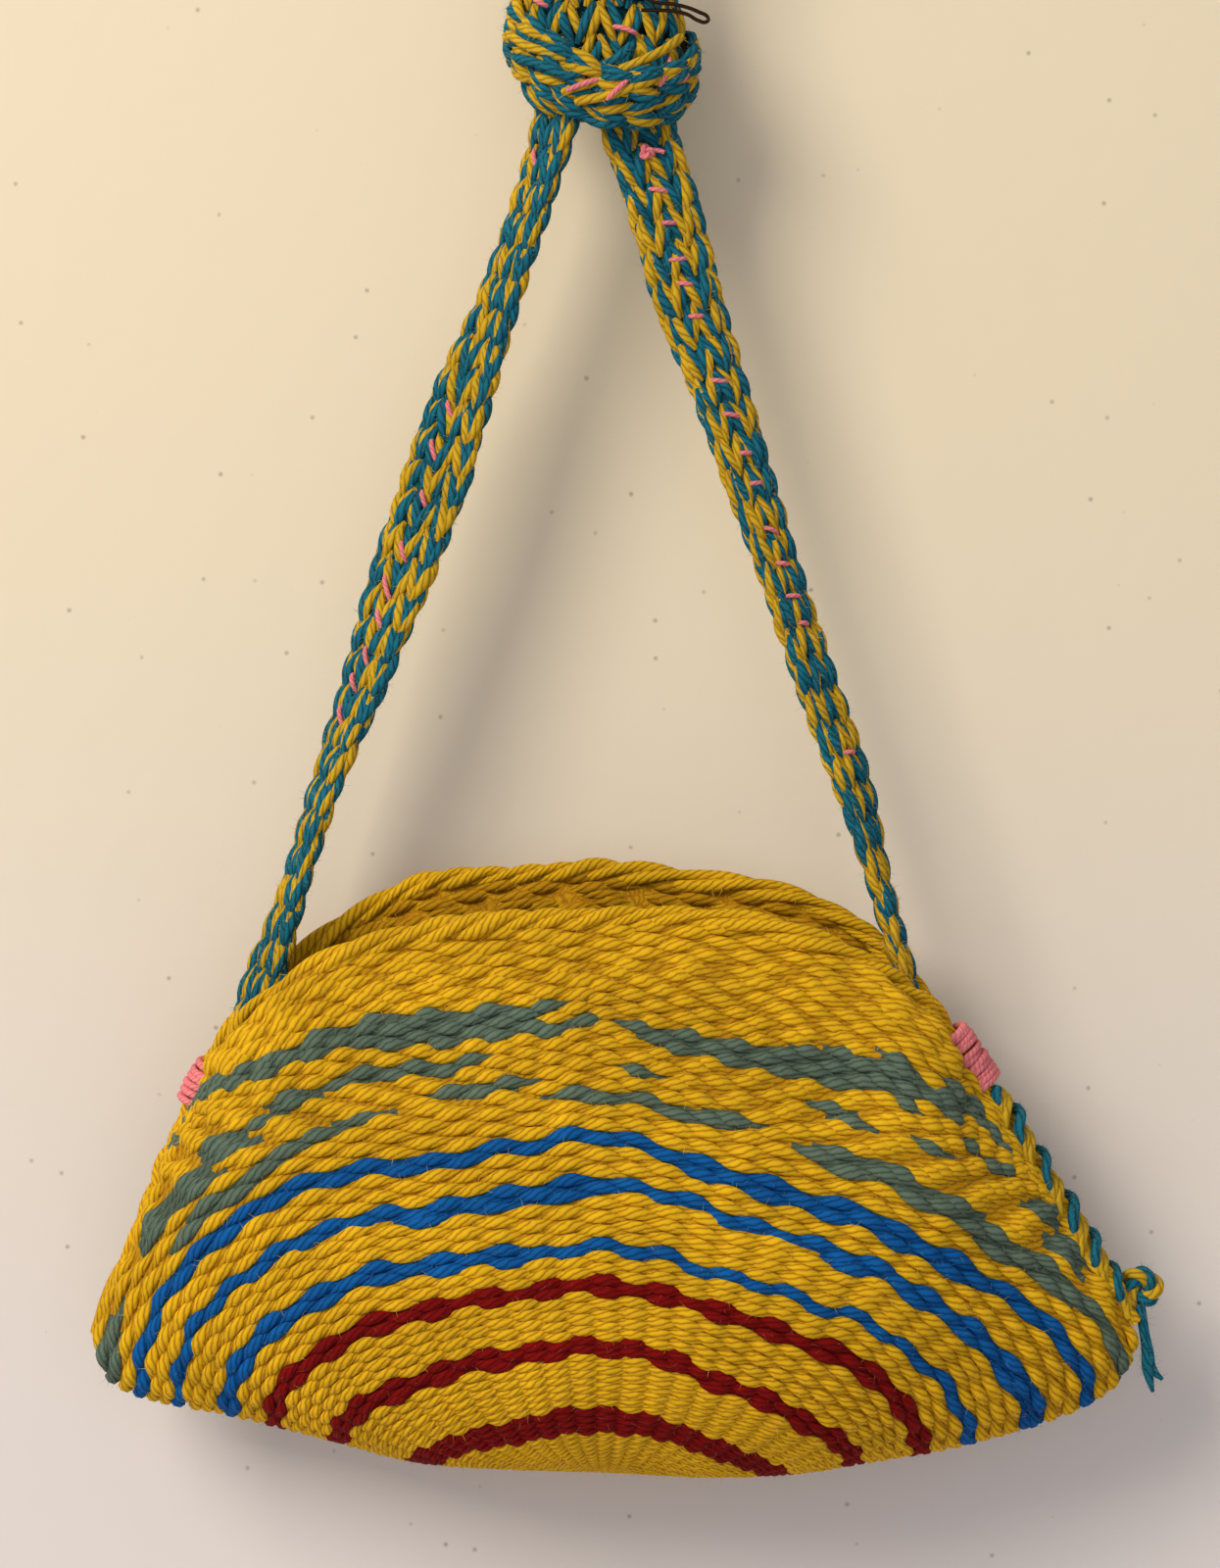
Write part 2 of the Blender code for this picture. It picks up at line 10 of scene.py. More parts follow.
import bpy
import numpy as np
from bpy.props import FloatProperty, IntProperty, PointerProperty, StringProperty
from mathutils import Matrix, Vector


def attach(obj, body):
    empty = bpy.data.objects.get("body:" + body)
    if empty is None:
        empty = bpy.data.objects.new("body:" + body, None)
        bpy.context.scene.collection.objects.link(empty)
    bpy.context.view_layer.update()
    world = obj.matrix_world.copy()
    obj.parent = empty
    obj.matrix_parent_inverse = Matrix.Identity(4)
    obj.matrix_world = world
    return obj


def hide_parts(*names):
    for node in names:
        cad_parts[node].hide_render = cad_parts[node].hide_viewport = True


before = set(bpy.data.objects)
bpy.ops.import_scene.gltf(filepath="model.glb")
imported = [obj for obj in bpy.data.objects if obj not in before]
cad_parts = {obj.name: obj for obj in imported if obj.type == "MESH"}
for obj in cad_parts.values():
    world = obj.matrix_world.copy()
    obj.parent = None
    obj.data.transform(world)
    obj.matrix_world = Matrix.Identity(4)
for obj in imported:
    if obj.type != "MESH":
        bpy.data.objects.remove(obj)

bl_info = {
    "name": "Woven Bag Dressing",
    "version": (1, 0, 0),
    "blender": (4, 5, 0),
    "location": "3D View > Sidebar > Woven Bag",
    "description": "Weaves, knits and sews the yarn of a folded round bag",
    "category": "Object",
}

MM = 0.001
FRONT = -1
BACK = 1

# The cloth's form, the same named values as the solid's
WALL = 4.0 * MM
BAG_ORIGIN = np.array((1.6, -3.0, -463.0)) * MM
MOUTH_LEFT = -107.0 * MM
MOUTH_RIGHT = 95.0 * MM
MOUTH_GAP = 22.0 * MM
MOUTH_SQUARENESS = 6.0
BELLY_OPEN = 0.32
BELLY_SHUT = 0.42
CLOSING_RUN = 40.0 * MM
DISC_RADIUS = 189.0 * MM

# Upright sections of the bag from left to right, in mm from the fold's middle
Section = namedtuple("Section", "x keel front_top back_top front_depth back_depth")
BODY_SECTIONS = [Section(*row) for row in (
    (-138.5, 34.0, 39.0, 39.0, 3.0, 2.6), (-135.0, 27.5, 47.0, 47.0, 8.0, 6.5),
    (-126.0, 22.0, 68.0, 68.0, 14.0, 10.5), (-114.0, 19.0, 97.0, 97.0, 21.0, 15.0),
    (-103.0, 17.0, 120.0, 120.5, 26.0, 18.5), (-88.0, 13.5, 133.0, 136.0, 32.0, 22.5),
    (-70.0, 9.0, 142.5, 150.0, 38.0, 26.0), (-50.0, 4.0, 148.0, 160.5, 42.5, 29.0),
    (-25.0, 2.3, 151.5, 163.0, 45.5, 31.0), (0.0, 1.6, 152.5, 164.0, 46.5, 32.0),
    (27.0, 0.2, 152.5, 161.0, 46.0, 31.5), (50.0, 1.0, 148.0, 157.5, 43.5, 29.5),
    (70.0, 4.0, 140.0, 148.0, 38.5, 26.0), (84.0, 6.0, 131.0, 134.5, 33.0, 22.5),
    (93.0, 7.6, 120.5, 121.0, 29.0, 20.0), (105.0, 10.5, 103.5, 103.5, 23.5, 16.5),
    (118.0, 14.5, 82.5, 82.5, 18.0, 13.0), (130.0, 19.3, 63.5, 63.5, 13.0, 10.0),
    (138.0, 26.0, 52.0, 52.0, 9.0, 7.0), (141.5, 33.0, 45.0, 45.0, 5.0, 4.2),
    (142.8, 37.0, 41.0, 41.0, 3.0, 2.6),
)]

# How high each ring of the weave rises on the folded front, how far it reaches to the left and
# to the right, in mm by its radius in the flat disc, and how round each half is
Ring = namedtuple("Ring", "radius rise left right left_round right_round")
RINGS = [Ring(*row) for row in (
    (0.0, 0.0, 0.0, 0.0, 1.7, 1.5), (15.0, 1.9, 14.7, 13.8, 1.65, 1.5),
    (30.0, 7.2, 29.3, 27.5, 1.62, 1.48), (50.7, 19.4, 49.0, 46.0, 1.65, 1.48),
    (75.7, 39.8, 70.5, 65.5, 1.8, 1.58), (93.5, 56.3, 88.0, 83.8, 1.9, 1.8),
    (103.4, 65.2, 98.8, 96.5, 1.92, 1.74), (118.0, 79.9, 112.6, 113.8, 1.92, 1.63),
    (128.6, 91.2, 122.8, 128.2, 1.94, 1.6), (141.0, 103.5, 136.0, 140.0, 2.0, 1.7),
    (159.0, 121.7, 151.0, 151.8, 2.0, 1.78), (175.0, 138.0, 156.0, 156.0, 2.0, 1.78),
    (189.0, 152.0, 158.0, 158.0, 2.0, 1.78),
)]
RIM_PULL_START = 148.0 * MM

# Rings and streaks of dyed yarn: their inner and outer radius in the disc, and where each
# starts and ends from left to right, in mm. Those from -WHOLE to WHOLE go all the way round.
Stripe = namedtuple("Stripe", "dye inner outer start end")
WHOLE = 400.0
STREAKS = {
    "red": (
        (45.5, 56.0, -WHOLE, WHOLE), (73.0, 78.5, -WHOLE, WHOLE), (91.0, 96.0, -WHOLE, WHOLE),
    ),
    "blue": (
        (101.6, 105.2, -WHOLE, WHOLE), (105.6, 107.0, -112.0, -14.0), (117.6, 120.2, -WHOLE, WHOLE),
        (115.9, 117.0, -52.0, -10.0), (115.9, 117.0, 52.0, 122.0), (128.0, 130.8, -WHOLE, WHOLE),
        (126.4, 127.4, 18.0, 92.0),
    ),
    "grey": (
        (158.6, 166.4, -98.0, -14.0), (162.0, 170.0, -108.0, -90.0), (166.0, 176.0, -116.0, -102.0),
        (156.5, 160.5, -60.0, -2.0), (154.0, 160.5, 8.0, 62.0), (156.0, 163.5, 52.0, 84.0),
        (160.0, 168.0, 76.0, 96.0), (166.0, 174.0, 90.0, 108.0), (148.0, 153.0, 113.0, 121.0),
        (143.0, 148.0, 120.0, 128.0), (149.6, 153.0, -74.0, -30.0), (146.2, 150.8, -92.0, -79.0),
        (143.0, 148.0, -106.0, -88.0), (139.0, 144.5, -119.0, -101.0), (138.8, 144.2, -125.0, -112.0),
        (137.2, 140.6, -84.0, -73.0), (134.6, 138.2, -97.0, -80.0), (132.8, 136.6, -115.0, -94.0),
        (141.6, 145.0, -44.0, -22.0), (138.0, 142.6, -16.0, 25.0), (140.4, 142.6, -26.0, -8.0),
        (140.4, 143.8, 22.0, 43.0), (140.2, 142.0, -65.0, -55.0), (148.2, 150.2, 0.0, 17.0),
        (147.6, 150.8, 54.0, 70.0), (149.0, 151.0, 74.0, 88.0), (152.4, 156.6, 94.0, 107.0),
        (137.6, 140.2, 50.0, 62.0), (136.6, 141.6, 58.0, 101.0), (134.4, 139.6, 97.0, 126.0),
        (136.0, 140.6, 122.0, 139.0), (135.0, 140.0, -138.0, -129.5),
    ),
}
STRIPES = [Stripe(dye, *row) for dye, rows in STREAKS.items() for row in rows]

# The rows of weft: their pitch at three radii, both in mm, and how they wave. The outermost
# pitch is a setting. Past LOOSE_START the rows are laid less evenly, as in the photograph.
PITCH_RADII = (55, 90, 130)
FINE_PITCHES = (1.3, 1.55)
FIRST_ROW = 3.0 * MM
RIM_ROOM = 5.0 * MM
ROW_WAVE = 0.52
ROW_FLATNESS = 0.74
LOOSE_START = 132.0 * MM
LOOSE_RUN = 16.0 * MM

# The sheet inside the rows, under the cloth's outer face
BACKING_INSET = WALL / 2 + 0.5 * MM
BACKING_THICKNESS = 0.6 * MM
BACKING_DROP = 4.0 * MM
BACKING_MARGIN = 0.8

# How far plies stray from an even lay, how dark the painted shade in the dips between yarns is, and
# loose fibres
PLY_STRAY = 4.2
DIP_SHADE = 0.45
FIBRE_RADIUS = 0.055 * MM
FIBRE_LEAN = 1.3

# Middle line of each strap leg from inside the bag up into the knot, in mm, with the band's
# width and how far it turns from face-on, in degrees
Station = namedtuple("Station", "x y z width turn")
LEFT_LEG = [Station(*row) for row in (
    (-98.3, -3.0, -358.0, 11.5, 70.0), (-94.0, -3.0, -342.0, 13.5, 54.0),
    (-90.3, -2.5, -330.0, 14.0, 48.0), (-87.6, -2.0, -323.0, 14.0, 54.0),
    (-81.6, -0.5, -303.9, 14.0, 68.0), (-73.4, 0.0, -277.6, 14.5, 64.0),
    (-63.6, 0.0, -251.3, 16.0, 46.0), (-54.6, 0.0, -225.0, 18.0, 28.0),
    (-45.0, 0.0, -198.7, 19.0, 22.0), (-36.4, 0.0, -172.3, 18.0, 32.0),
    (-28.0, 0.0, -150.0, 15.5, 46.0), (-21.1, -1.0, -130.2, 15.0, 52.0),
    (-14.2, -2.0, -109.0, 15.0, 48.0), (-8.5, -2.0, -86.0, 14.0, 30.0),
)]
RIGHT_LEG = [Station(*row) for row in (
    (84.0, -2.0, -352.0, 10.0, -80.0), (83.0, -2.0, -340.0, 10.0, -80.0),
    (82.2, -2.0, -332.0, 10.5, -80.0), (80.4, -2.0, -323.5, 12.0, -80.0),
    (75.0, -1.0, -303.9, 13.0, -76.0), (67.9, 0.0, -277.6, 14.0, -50.0),
    (58.4, 0.0, -251.3, 14.0, -42.0), (49.7, 0.0, -225.0, 13.0, -36.0),
    (41.0, 0.0, -198.7, 14.0, -26.0), (32.4, 0.0, -172.3, 15.5, -14.0),
    (23.2, -1.0, -146.0, 18.0, -8.0), (16.0, -2.0, -119.7, 19.0, -4.0),
    (10.0, -3.0, -102.0, 19.0, 0.0), (5.0, -2.0, -86.0, 17.0, 0.0),
)]

# The knot, the hanging loop over it and the knit that both are made of. WRAP_TOP and the
# tables of the wrap and of the strands are in mm.
KNOT_CENTRE = np.array((0.5, 0.0, -80.0)) * MM
KNOT_CORE = np.array((22.0, 14.0, 20.0)) * MM
WRAP_REACH = np.array((23.0, 15.5, 0.0)) * MM
WRAP_WIDTH = 17.0 * MM
WRAP_THICKNESS = 6.4 * MM
WRAP_TOP = -81.0
LOOP_WIDTH = 16.0 * MM
LOOP_RADIUS = 12.0 * MM
LOOP_FOOT = -66.0 * MM
LOOP_SPREAD = 11.0 * MM
STRAP_THICKNESS = 5.6 * MM
STITCH_POINTS = 8
THICKEST_STRAND = 2.05 * MM
Wrap = namedtuple("Wrap", "turn height")
KNOT_WRAP = [Wrap(*row) for row in (
    (0.0, -6.0), (45.0, -14.5), (90.0, -15.5), (135.0, -5.0), (180.0, 5.0),
    (225.0, 8.0), (270.0, 6.0), (315.0, 1.0), (360.0, -6.0),
)]
# Long strands that cross the knot's front, in mm across and up
KNOT_STRANDS = (
    ("teal", (
        (-21.8, -84.6), (-14.6, -88.1), (-7.5, -91.2), (-2.9, -89.9), (4.3, -86.9), (8.3, -82.8),
    )),
    ("yellow", (
        (-9.5, -95.0), (-2.9, -93.5), (4.3, -90.4), (10.9, -87.3), (17.5, -83.3), (21.6, -79.2),
    )),
    ("yellow", ((-24.4, -77.7), (-19.7, -82.0), (-14.1, -84.6), (-9.0, -86.4))),
    ("yellow", ((-6.0, -97.6), (0.5, -97.0), (7.5, -94.6), (14.0, -91.0), (19.0, -87.0))),
)

# The rolled rims: three strands laid into a rope along the front rim and the back rim
RIM_STRAND = 1.62 * MM
RIM_LAY = 38.0 * MM
RIM_DROP = 2.3 * MM
RIM_SIDE = 2.1 * MM

# Sewing along the closed edges: where each pink bar starts and ends, its wraps and its height,
# and then the whipped seam with its knot and tail
TACKS = ((-111.2 * MM, -106.4 * MM, 6, 4.6 * MM), (92.0 * MM, 101.5 * MM, 11, 6.0 * MM))
TACK_DROP = 3.2 * MM
TACK_DEPTH = 10.8 * MM
TACK_THREAD = 1.0 * MM
WHIP = (102.5 * MM, 140.5 * MM)
WHIP_LAY = 12.4 * MM
WHIP_DROP = 3.4 * MM
WHIP_REACH = (4.3 * MM, 9.2 * MM)
WHIP_SLANT = 0.74
SEAM_KNOT = np.array((143.2, 0.0, 50.6)) * MM
TAIL = ((142.8, -1.5, 46.5), (143.6, -2.0, 40.5), (144.5, -2.0, 35.0), (145.2, -2.2, 29.5))
TAIL_ENDS = (
    ((145.6, -2.2, 27.0), (146.5, -2.4, 23.2)),
    ((146.4, -2.2, 28.0), (148.2, -2.4, 26.4)),
)

# Heights of the pink running stitches on each strap leg, in mm, and the thread's knot
RIGHT_DASHES = (
    -119.0, -128.0, -137.5, -143.7, -152.5, -170.0, -179.7, -189.2, -198.4, -210.0, -219.0,
    -227.3, -234.7, -269.7,
)
LEFT_DASHES = (-111.8, -178.0, -189.5, -201.8, -215.8, -225.8, -234.2, -244.2, -251.3, -260.5)
THREAD_KNOT = -108.9
THREAD_TAIL = ((0.5, 0.0), (2.2, 0.2), (3.6, 0.8), (5.0, 1.7))
KNOT_DASHES = (
    ((-7.9, -95.0), (-0.9, -92.7)),
    ((2.6, -97.2), (7.9, -92.0)),
    ((16.4, -92.8), (18.8, -86.2)),
    ((22.2, -91.2), (24.6, -85.2)),
    ((4.7, -77.7), (9.2, -79.0)),
    ((-17.0, -69.8), (-15.0, -71.2)),
    ((6.0, -68.4), (8.2, -69.4)),
)
KNOT_DASH_RISE = 1.7 * MM
PIN_LINE = (
    (10.5, -14.5, -69.0), (14.3, -14.8, -71.0), (20.0, -14.4, -71.6), (26.2, -13.6, -73.4),
    (28.6, -13.2, -74.7), (28.8, -13.2, -75.5), (28.2, -13.2, -76.0), (26.0, -13.4, -75.6),
    (23.4, -13.8, -74.2), (20.0, -14.2, -73.4), (14.0, -14.6, -73.2), (11.0, -14.6, -73.2),
)

# The photograph's view: a level camera, this far from the hanging loop's plane
CAMERA_PLACE = (2.76 * MM, -0.9, -277.6 * MM)
CAMERA_LENS = 51.3
CAMERA_SENSOR = 24.0
WALL_PLANE = 34.0 * MM
# Heights over which the wall's painted light turns from warm to cool grey
WALL_LIGHT_FADE = (-0.16, -0.50)
LIGHT_AIM = Vector((0.0, 0.0, -0.3))


class BagSettings(bpy.types.PropertyGroup):
    """Sizes and colours of the woven cloth."""

    yellow: StringProperty(name="Yellow", description="Dye of the ground yarn", default="E2B51C")
    grey: StringProperty(name="Grey green", description="Dye of the streaks", default="5F7468")
    blue: StringProperty(name="Blue", description="Dye of the three blue rings", default="0B5CA8")
    red: StringProperty(name="Red", description="Dye of the three red rings", default="7C0808")
    row_pitch: FloatProperty(
        name="Row pitch",
        description="Distance between the outer rows of yarn",
        default=1.8 * MM,
        unit="LENGTH",
    )
    sides: IntProperty(name="Sides", description="Faces round a yarn", default=7, min=4)


class StrapSettings(bpy.types.PropertyGroup):
    """Sizes and colours of the knitted strap and the sewing."""

    teal: StringProperty(name="Teal", description="Dye of the strap's blue yarn", default="186C86")
    yellow: StringProperty(name="Yellow", description="Dye of its yellow yarn", default="CFAA28")
    pink: StringProperty(name="Pink", description="Dye of the sewing thread", default="F08C96")
    stitch: FloatProperty(
        name="Stitch",
        description="Length of one knitted stitch",
        default=8.9 * MM,
        unit="LENGTH",
    )


class StageSettings(bpy.types.PropertyGroup):
    """The plain wall and the soft light."""

    # The wall's colour high up and low down: the change between them is painted light, warm above and
    # cool below
    wall: StringProperty(name="Wall", description="Paint of the wall, high up", default="E4DAC4")
    wall_low: StringProperty(name="Low wall", description="Paint low down", default="E0DDE0")
    key_power: FloatProperty(name="Key light", description="Power", default=9.0, unit="POWER")


def linear(hex_colour):
    """An sRGB hex value as linear RGBA."""
    parts = [int(hex_colour[i : i + 2], 16) / 255 for i in (0, 2, 4)]
    bent = [c / 12.92 if c <= 0.04045 else ((c + 0.055) / 1.055) ** 2.4 for c in parts]
    return (*bent, 1.0)


def add_node(tree, kind, inputs=None, **options):
    """Adds a node with its options, and sets or links its inputs by name or number."""
    made = tree.nodes.new(kind)
    for name, value in options.items():
        setattr(made, name, value)
    for key, value in (inputs or {}).items():
        if isinstance(value, bpy.types.NodeSocket):
            tree.links.new(value, made.inputs[key])
        else:
            made.inputs[key].default_value = value
    return made


def grow(tree, kind, out, inputs=None, **options):
    """Adds a node and hands on one of its outputs."""
    return add_node(tree, kind, inputs, **options).outputs[out]


def maths(tree, operation, a, b=0.0):
    return grow(tree, "ShaderNodeMath", 0, {0: a, 1: b}, operation=operation)


def mix_colour(tree, factor, a, b):
    inputs = {"Factor": factor, "A": a, "B": b}
    return grow(tree, "ShaderNodeMix", "Result", inputs, data_type="RGBA")


def map_range(tree, value, *bounds, **options):
    """Takes the value from one span, low and high, to another."""
    names = ("From Min", "From Max", "To Min", "To Max")
    inputs = {"Value": value, **dict(zip(names, bounds))}
    return grow(tree, "ShaderNodeMapRange", 0, inputs, **options)


def noise(tree, vector, scale, detail):
    inputs = {"Vector": vector, "Scale": scale, "Detail": detail}
    return grow(tree, "ShaderNodeTexNoise", "Fac", inputs)


def read(table, column, key, at):
    """The column's values where the key column has the values at, on a smooth curve."""
    keys = np.array([getattr(row, key) for row in table])
    values = np.array([getattr(row, column) for row in table])
    slopes = np.empty(len(keys))
    slopes[1:-1] = (values[2:] - values[:-2]) / (keys[2:] - keys[:-2])
    slopes[0] = (values[1] - values[0]) / (keys[1] - keys[0])
    slopes[-1] = (values[-1] - values[-2]) / (keys[-1] - keys[-2])
    at = np.asarray(at, dtype=float)
    i = np.clip(np.searchsorted(keys, at) - 1, 0, len(keys) - 2)
    span = keys[i + 1] - keys[i]
    t = np.clip((at - keys[i]) / span, 0.0, 1.0)
    lift = t * t * (3 - 2 * t)
    bend = slopes[i] * span * t * (1 - t) ** 2 - slopes[i + 1] * span * t * t * (1 - t)
    return values[i] + (values[i + 1] - values[i]) * lift + bend


def unit(vectors):
    length = np.linalg.norm(vectors, axis=-1, keepdims=True)
    return vectors / np.maximum(length, 1e-12)


def run_length(points):
    """The distance along a line to each of its points."""
    gaps = np.linalg.norm(np.diff(points, axis=0), axis=1)
    return np.concatenate([[0.0], np.cumsum(gaps)])


def follow(at, run, values):
    """Points or directions read at these distances along a line."""
    return np.stack([np.interp(at, run, values[:, k]) for k in range(3)], axis=-1)


def smooth_step(t):
    t = np.clip(t, 0.0, 1.0)
    return t * t * (3 - 2 * t)


def body_value(column, x):
    return read(BODY_SECTIONS, column, "x", np.asarray(x) / MM) * MM


def body_height(x, side):
    top = "front_top" if side == FRONT else "back_top"
    return body_value(top, x) - body_value("keel", x)


def closing(x):
    """Nought where the mouth stands open, rising to one at its corners and past them."""
    reach = np.maximum(MOUTH_LEFT + CLOSING_RUN - x, x - MOUTH_RIGHT + CLOSING_RUN)
    return smooth_step(reach / CLOSING_RUN)


def mouth_gap(x):
    middle = (MOUTH_LEFT + MOUTH_RIGHT) / 2
    half = (MOUTH_RIGHT - MOUTH_LEFT) / 2
    share = np.minimum(np.abs(x - middle) / half, 1.0)
    return MOUTH_GAP * np.sqrt(1 - share**MOUTH_SQUARENESS)


def wall_y(x, h, side):
    """How far the cloth's outer face stands from the fold's plane at height h over the keel."""
    depth = body_value("front_depth" if side == FRONT else "back_depth", x)
    height = body_height(x, side)
    close = closing(x)
    belly = height * (BELLY_OPEN + (BELLY_SHUT - BELLY_OPEN) * close)
    low = depth * np.sqrt(np.maximum(1 - (1 - np.minimum(h / belly, 1.0)) ** 2, 0.0))
    s = np.clip((h - belly) / (height - belly), 0.0, 1.0)
    gap = mouth_gap(x)
    lip = gap / 2 + WALL * np.minimum(gap / MOUTH_GAP * 3, 1.0)
    upright = depth + (lip - depth) * smooth_step(s)
    rounded = lip + (depth - lip) * np.sqrt(np.maximum(1 - s * s, 0.0))
    high = upright + (rounded - upright) * close
    return side * np.where(h < belly, low, high)


def wall_point(x, h, side):
    z = body_value("keel", x) + h
    return np.stack([x, wall_y(x, h, side), z], axis=-1) + BAG_ORIGIN


def wall_frame(x, h, side, inset):
    """Points this far under the cloth's outer face, and the face's outward directions."""
    step = 0.3 * MM
    low = np.maximum(h - step, 0.02 * MM)
    along = wall_point(x + step, h, side) - wall_point(x - step, h, side)
    up = wall_point(x, h + step, side) - wall_point(x, low, side)
    outward = unit(np.cross(along, up) * -side)
    return wall_point(x, h, side) - outward * inset, outward


def profile_run(side):
    """Heights on the middle section and the distance along the cloth to each from the fold."""
    height = float(body_height(0.0, side))
    h = height * np.linspace(0.0, 1.0, 400) ** 2
    return h, run_length(wall_point(np.zeros_like(h), h, side))


FRONT_RUN = profile_run(FRONT)
BACK_RUN = profile_run(BACK)


def ring_rise(radius, side):
    """Height of a ring at the middle. On the back it lies as far from the fold as in front."""
    rise = read(RINGS, "rise", "radius", radius / MM) * MM
    if side == FRONT:
        return rise
    share = np.interp(rise, *FRONT_RUN) / FRONT_RUN[1][-1]
    return np.interp(share * BACK_RUN[1][-1], BACK_RUN[1], BACK_RUN[0])


def wobble(x, h):
    """The small wander of hand-laid rows."""
    slow = 1.0 * np.sin(x / (13 * MM) + h / (19 * MM)) * np.sin(h / (23 * MM) - x / (41 * MM) + 1)
    quick = 0.6 * np.sin(x / (5.3 * MM) - h / (9 * MM)) * np.sin(x / (17 * MM) + h / (11 * MM))
    return (slow + quick) * MM


def ring_line(radius, side):
    """One ring on one side of the bag as x and height over the keel, from left to right."""
    angle = np.linspace(math.pi, 0.0, 721)
    cosine, sine = np.cos(angle), np.sin(angle)
    left, right, left_round, right_round = (
        float(read(RINGS, name, "radius", radius / MM))
        for name in ("left", "right", "left_round", "right_round")
    )
    power = 2 / np.where(cosine < 0, left_round, right_round)
    reach = np.where(cosine < 0, left, right) * MM
    x = reach * np.sign(cosine) * np.abs(cosine) ** power
    h = ring_rise(radius, side) * np.abs(sine) ** power
    first, last = BODY_SECTIONS[0].x * MM, BODY_SECTIONS[-1].x * MM
    inside = (x > first + 0.8 * MM) & (x < last - 0.8 * MM)
    height = body_height(np.clip(x, first, last), side)
    pull = smooth_step((radius - RIM_PULL_START) / (DISC_RADIUS - RIM_PULL_START))
    h = h + pull * (height - (DISC_RADIUS - radius) - h)
    fade = smooth_step(h / (12 * MM)) * smooth_step((DISC_RADIUS - radius) / (6 * MM))
    h = h + wobble(x, h) * fade
    inside &= (h > -1e-6) & (h < height - 0.6 * MM)
    middle = len(angle) // 2
    low = high = middle
    while low > 0 and inside[low - 1]:
        low -= 1
    while high < len(angle) - 1 and inside[high + 1]:
        high += 1
    keep = slice(low, high + 1)
    return x[keep], np.maximum(h[keep], 0.0)


class Yarns:
    """Centrelines gathered for one piece, with what each point needs to become a tube."""

    def __init__(self):
        names = ("centre", "lift", "side", "fat", "flat", "run", "dip")
        self.columns = {name: [] for name in names}
        self.edges = []
        self.count = 0

    def add(self, points, lift, fat, flat=1.0, start=0.0, dip=0.0):
        points = np.asarray(points, dtype=float)
        number = len(points)
        tangent = unit(np.gradient(points, axis=0))
        side = unit(np.cross(tangent, lift))
        upright = unit(np.cross(side, tangent))
        values = (points, upright, side, fat, flat, start + run_length(points), dip)
        for column, value in zip(self.columns.values(), values):
            shape = (number, 3) if np.ndim(value) == 2 else (number,)
            column.append(np.broadcast_to(value, shape))
        self.edges.append(np.arange(number - 1) + self.count)
        self.count += number


def new_group(name, sockets):
    """A geometry group with a mesh, these values and a material as its inputs."""
    tree = bpy.data.node_groups.new(name, "GeometryNodeTree")
    ends = (("Geometry", "Geometry", None), *sockets, ("Material", "Material", None))
    for label, kind, start in ends:
        made = tree.interface.new_socket(label, in_out="INPUT", socket_type=f"NodeSocket{kind}")
        if start is not None:
            made.default_value = start
    tree.interface.new_socket("Geometry", in_out="OUTPUT", socket_type="NodeSocketGeometry")
    return tree, add_node(tree, "NodeGroupInput").outputs


def close_group(tree, geometry, material):
    """Ends a group with plain geometry in its material."""
    whole = grow(tree, "GeometryNodeRealizeInstances", 0, {"Geometry": geometry})
    dyed = grow(tree, "GeometryNodeSetMaterial", 0, {"Geometry": whole, "Material": material})
    add_node(tree, "NodeGroupOutput", {"Geometry": dyed})
    return tree


def yarn_tree():
    """Geometry nodes that grow a flattened tube on each line of a wire mesh."""
    name = "yarn tubes"
    if name in bpy.data.node_groups:
        return bpy.data.node_groups[name]
    tree, given = new_group(name, (("Sides", "Int", 8), ("Plumpness", "Float", 1.0)))

    def named(label, kind="FLOAT"):
        inputs = {"Name": label}
        return grow(tree, "GeometryNodeInputNamedAttribute", "Attribute", inputs, data_type=kind)

    def vector(operation, a, b, out="Vector"):
        key = "Scale" if operation == "SCALE" else 1
        return grow(tree, "ShaderNodeVectorMath", out, {0: a, key: b}, operation=operation)

    wire = grow(tree, "GeometryNodeMeshToCurve", 0, {"Mesh": given["Geometry"]})
    circle = {"Resolution": given["Sides"], "Radius": 1.0}
    profile = grow(tree, "GeometryNodeCurvePrimitiveCircle", "Curve", circle)
    girth = maths(tree, "MULTIPLY", named("fat"), given["Plumpness"])
    sweep = {"Curve": wire, "Profile Curve": profile, "Scale": girth, "Fill Caps": True}
    tube = grow(tree, "GeometryNodeCurveToMesh", 0, sweep)
    position = grow(tree, "GeometryNodeInputPosition", 0)
    spoke = vector("SUBTRACT", position, named("centre", "FLOAT_VECTOR"))
    lift = named("lift", "FLOAT_VECTOR")
    rise = vector("DOT_PRODUCT", spoke, lift, "Value")
    across = vector("DOT_PRODUCT", spoke, named("side", "FLOAT_VECTOR"), "Value")
    twist = grow(tree, "ShaderNodeCombineXYZ", 0, {0: across, 1: rise, 2: named("run")})
    mark = {"Geometry": tube, "Name": "twist", "Value": twist}
    kind = {"data_type": "FLOAT_VECTOR", "domain": "POINT"}
    marked = grow(tree, "GeometryNodeStoreNamedAttribute", 0, mark, **kind)
    press = maths(tree, "MULTIPLY", maths(tree, "SUBTRACT", named("flat"), 1.0), rise)
    push = {"Geometry": marked, "Offset": vector("SCALE", lift, press)}
    pressed = grow(tree, "GeometryNodeSetPosition", 0, push)
    smooth = grow(tree, "GeometryNodeSetShadeSmooth", 0, {"Geometry": pressed})
    return close_group(tree, smooth, given["Material"])


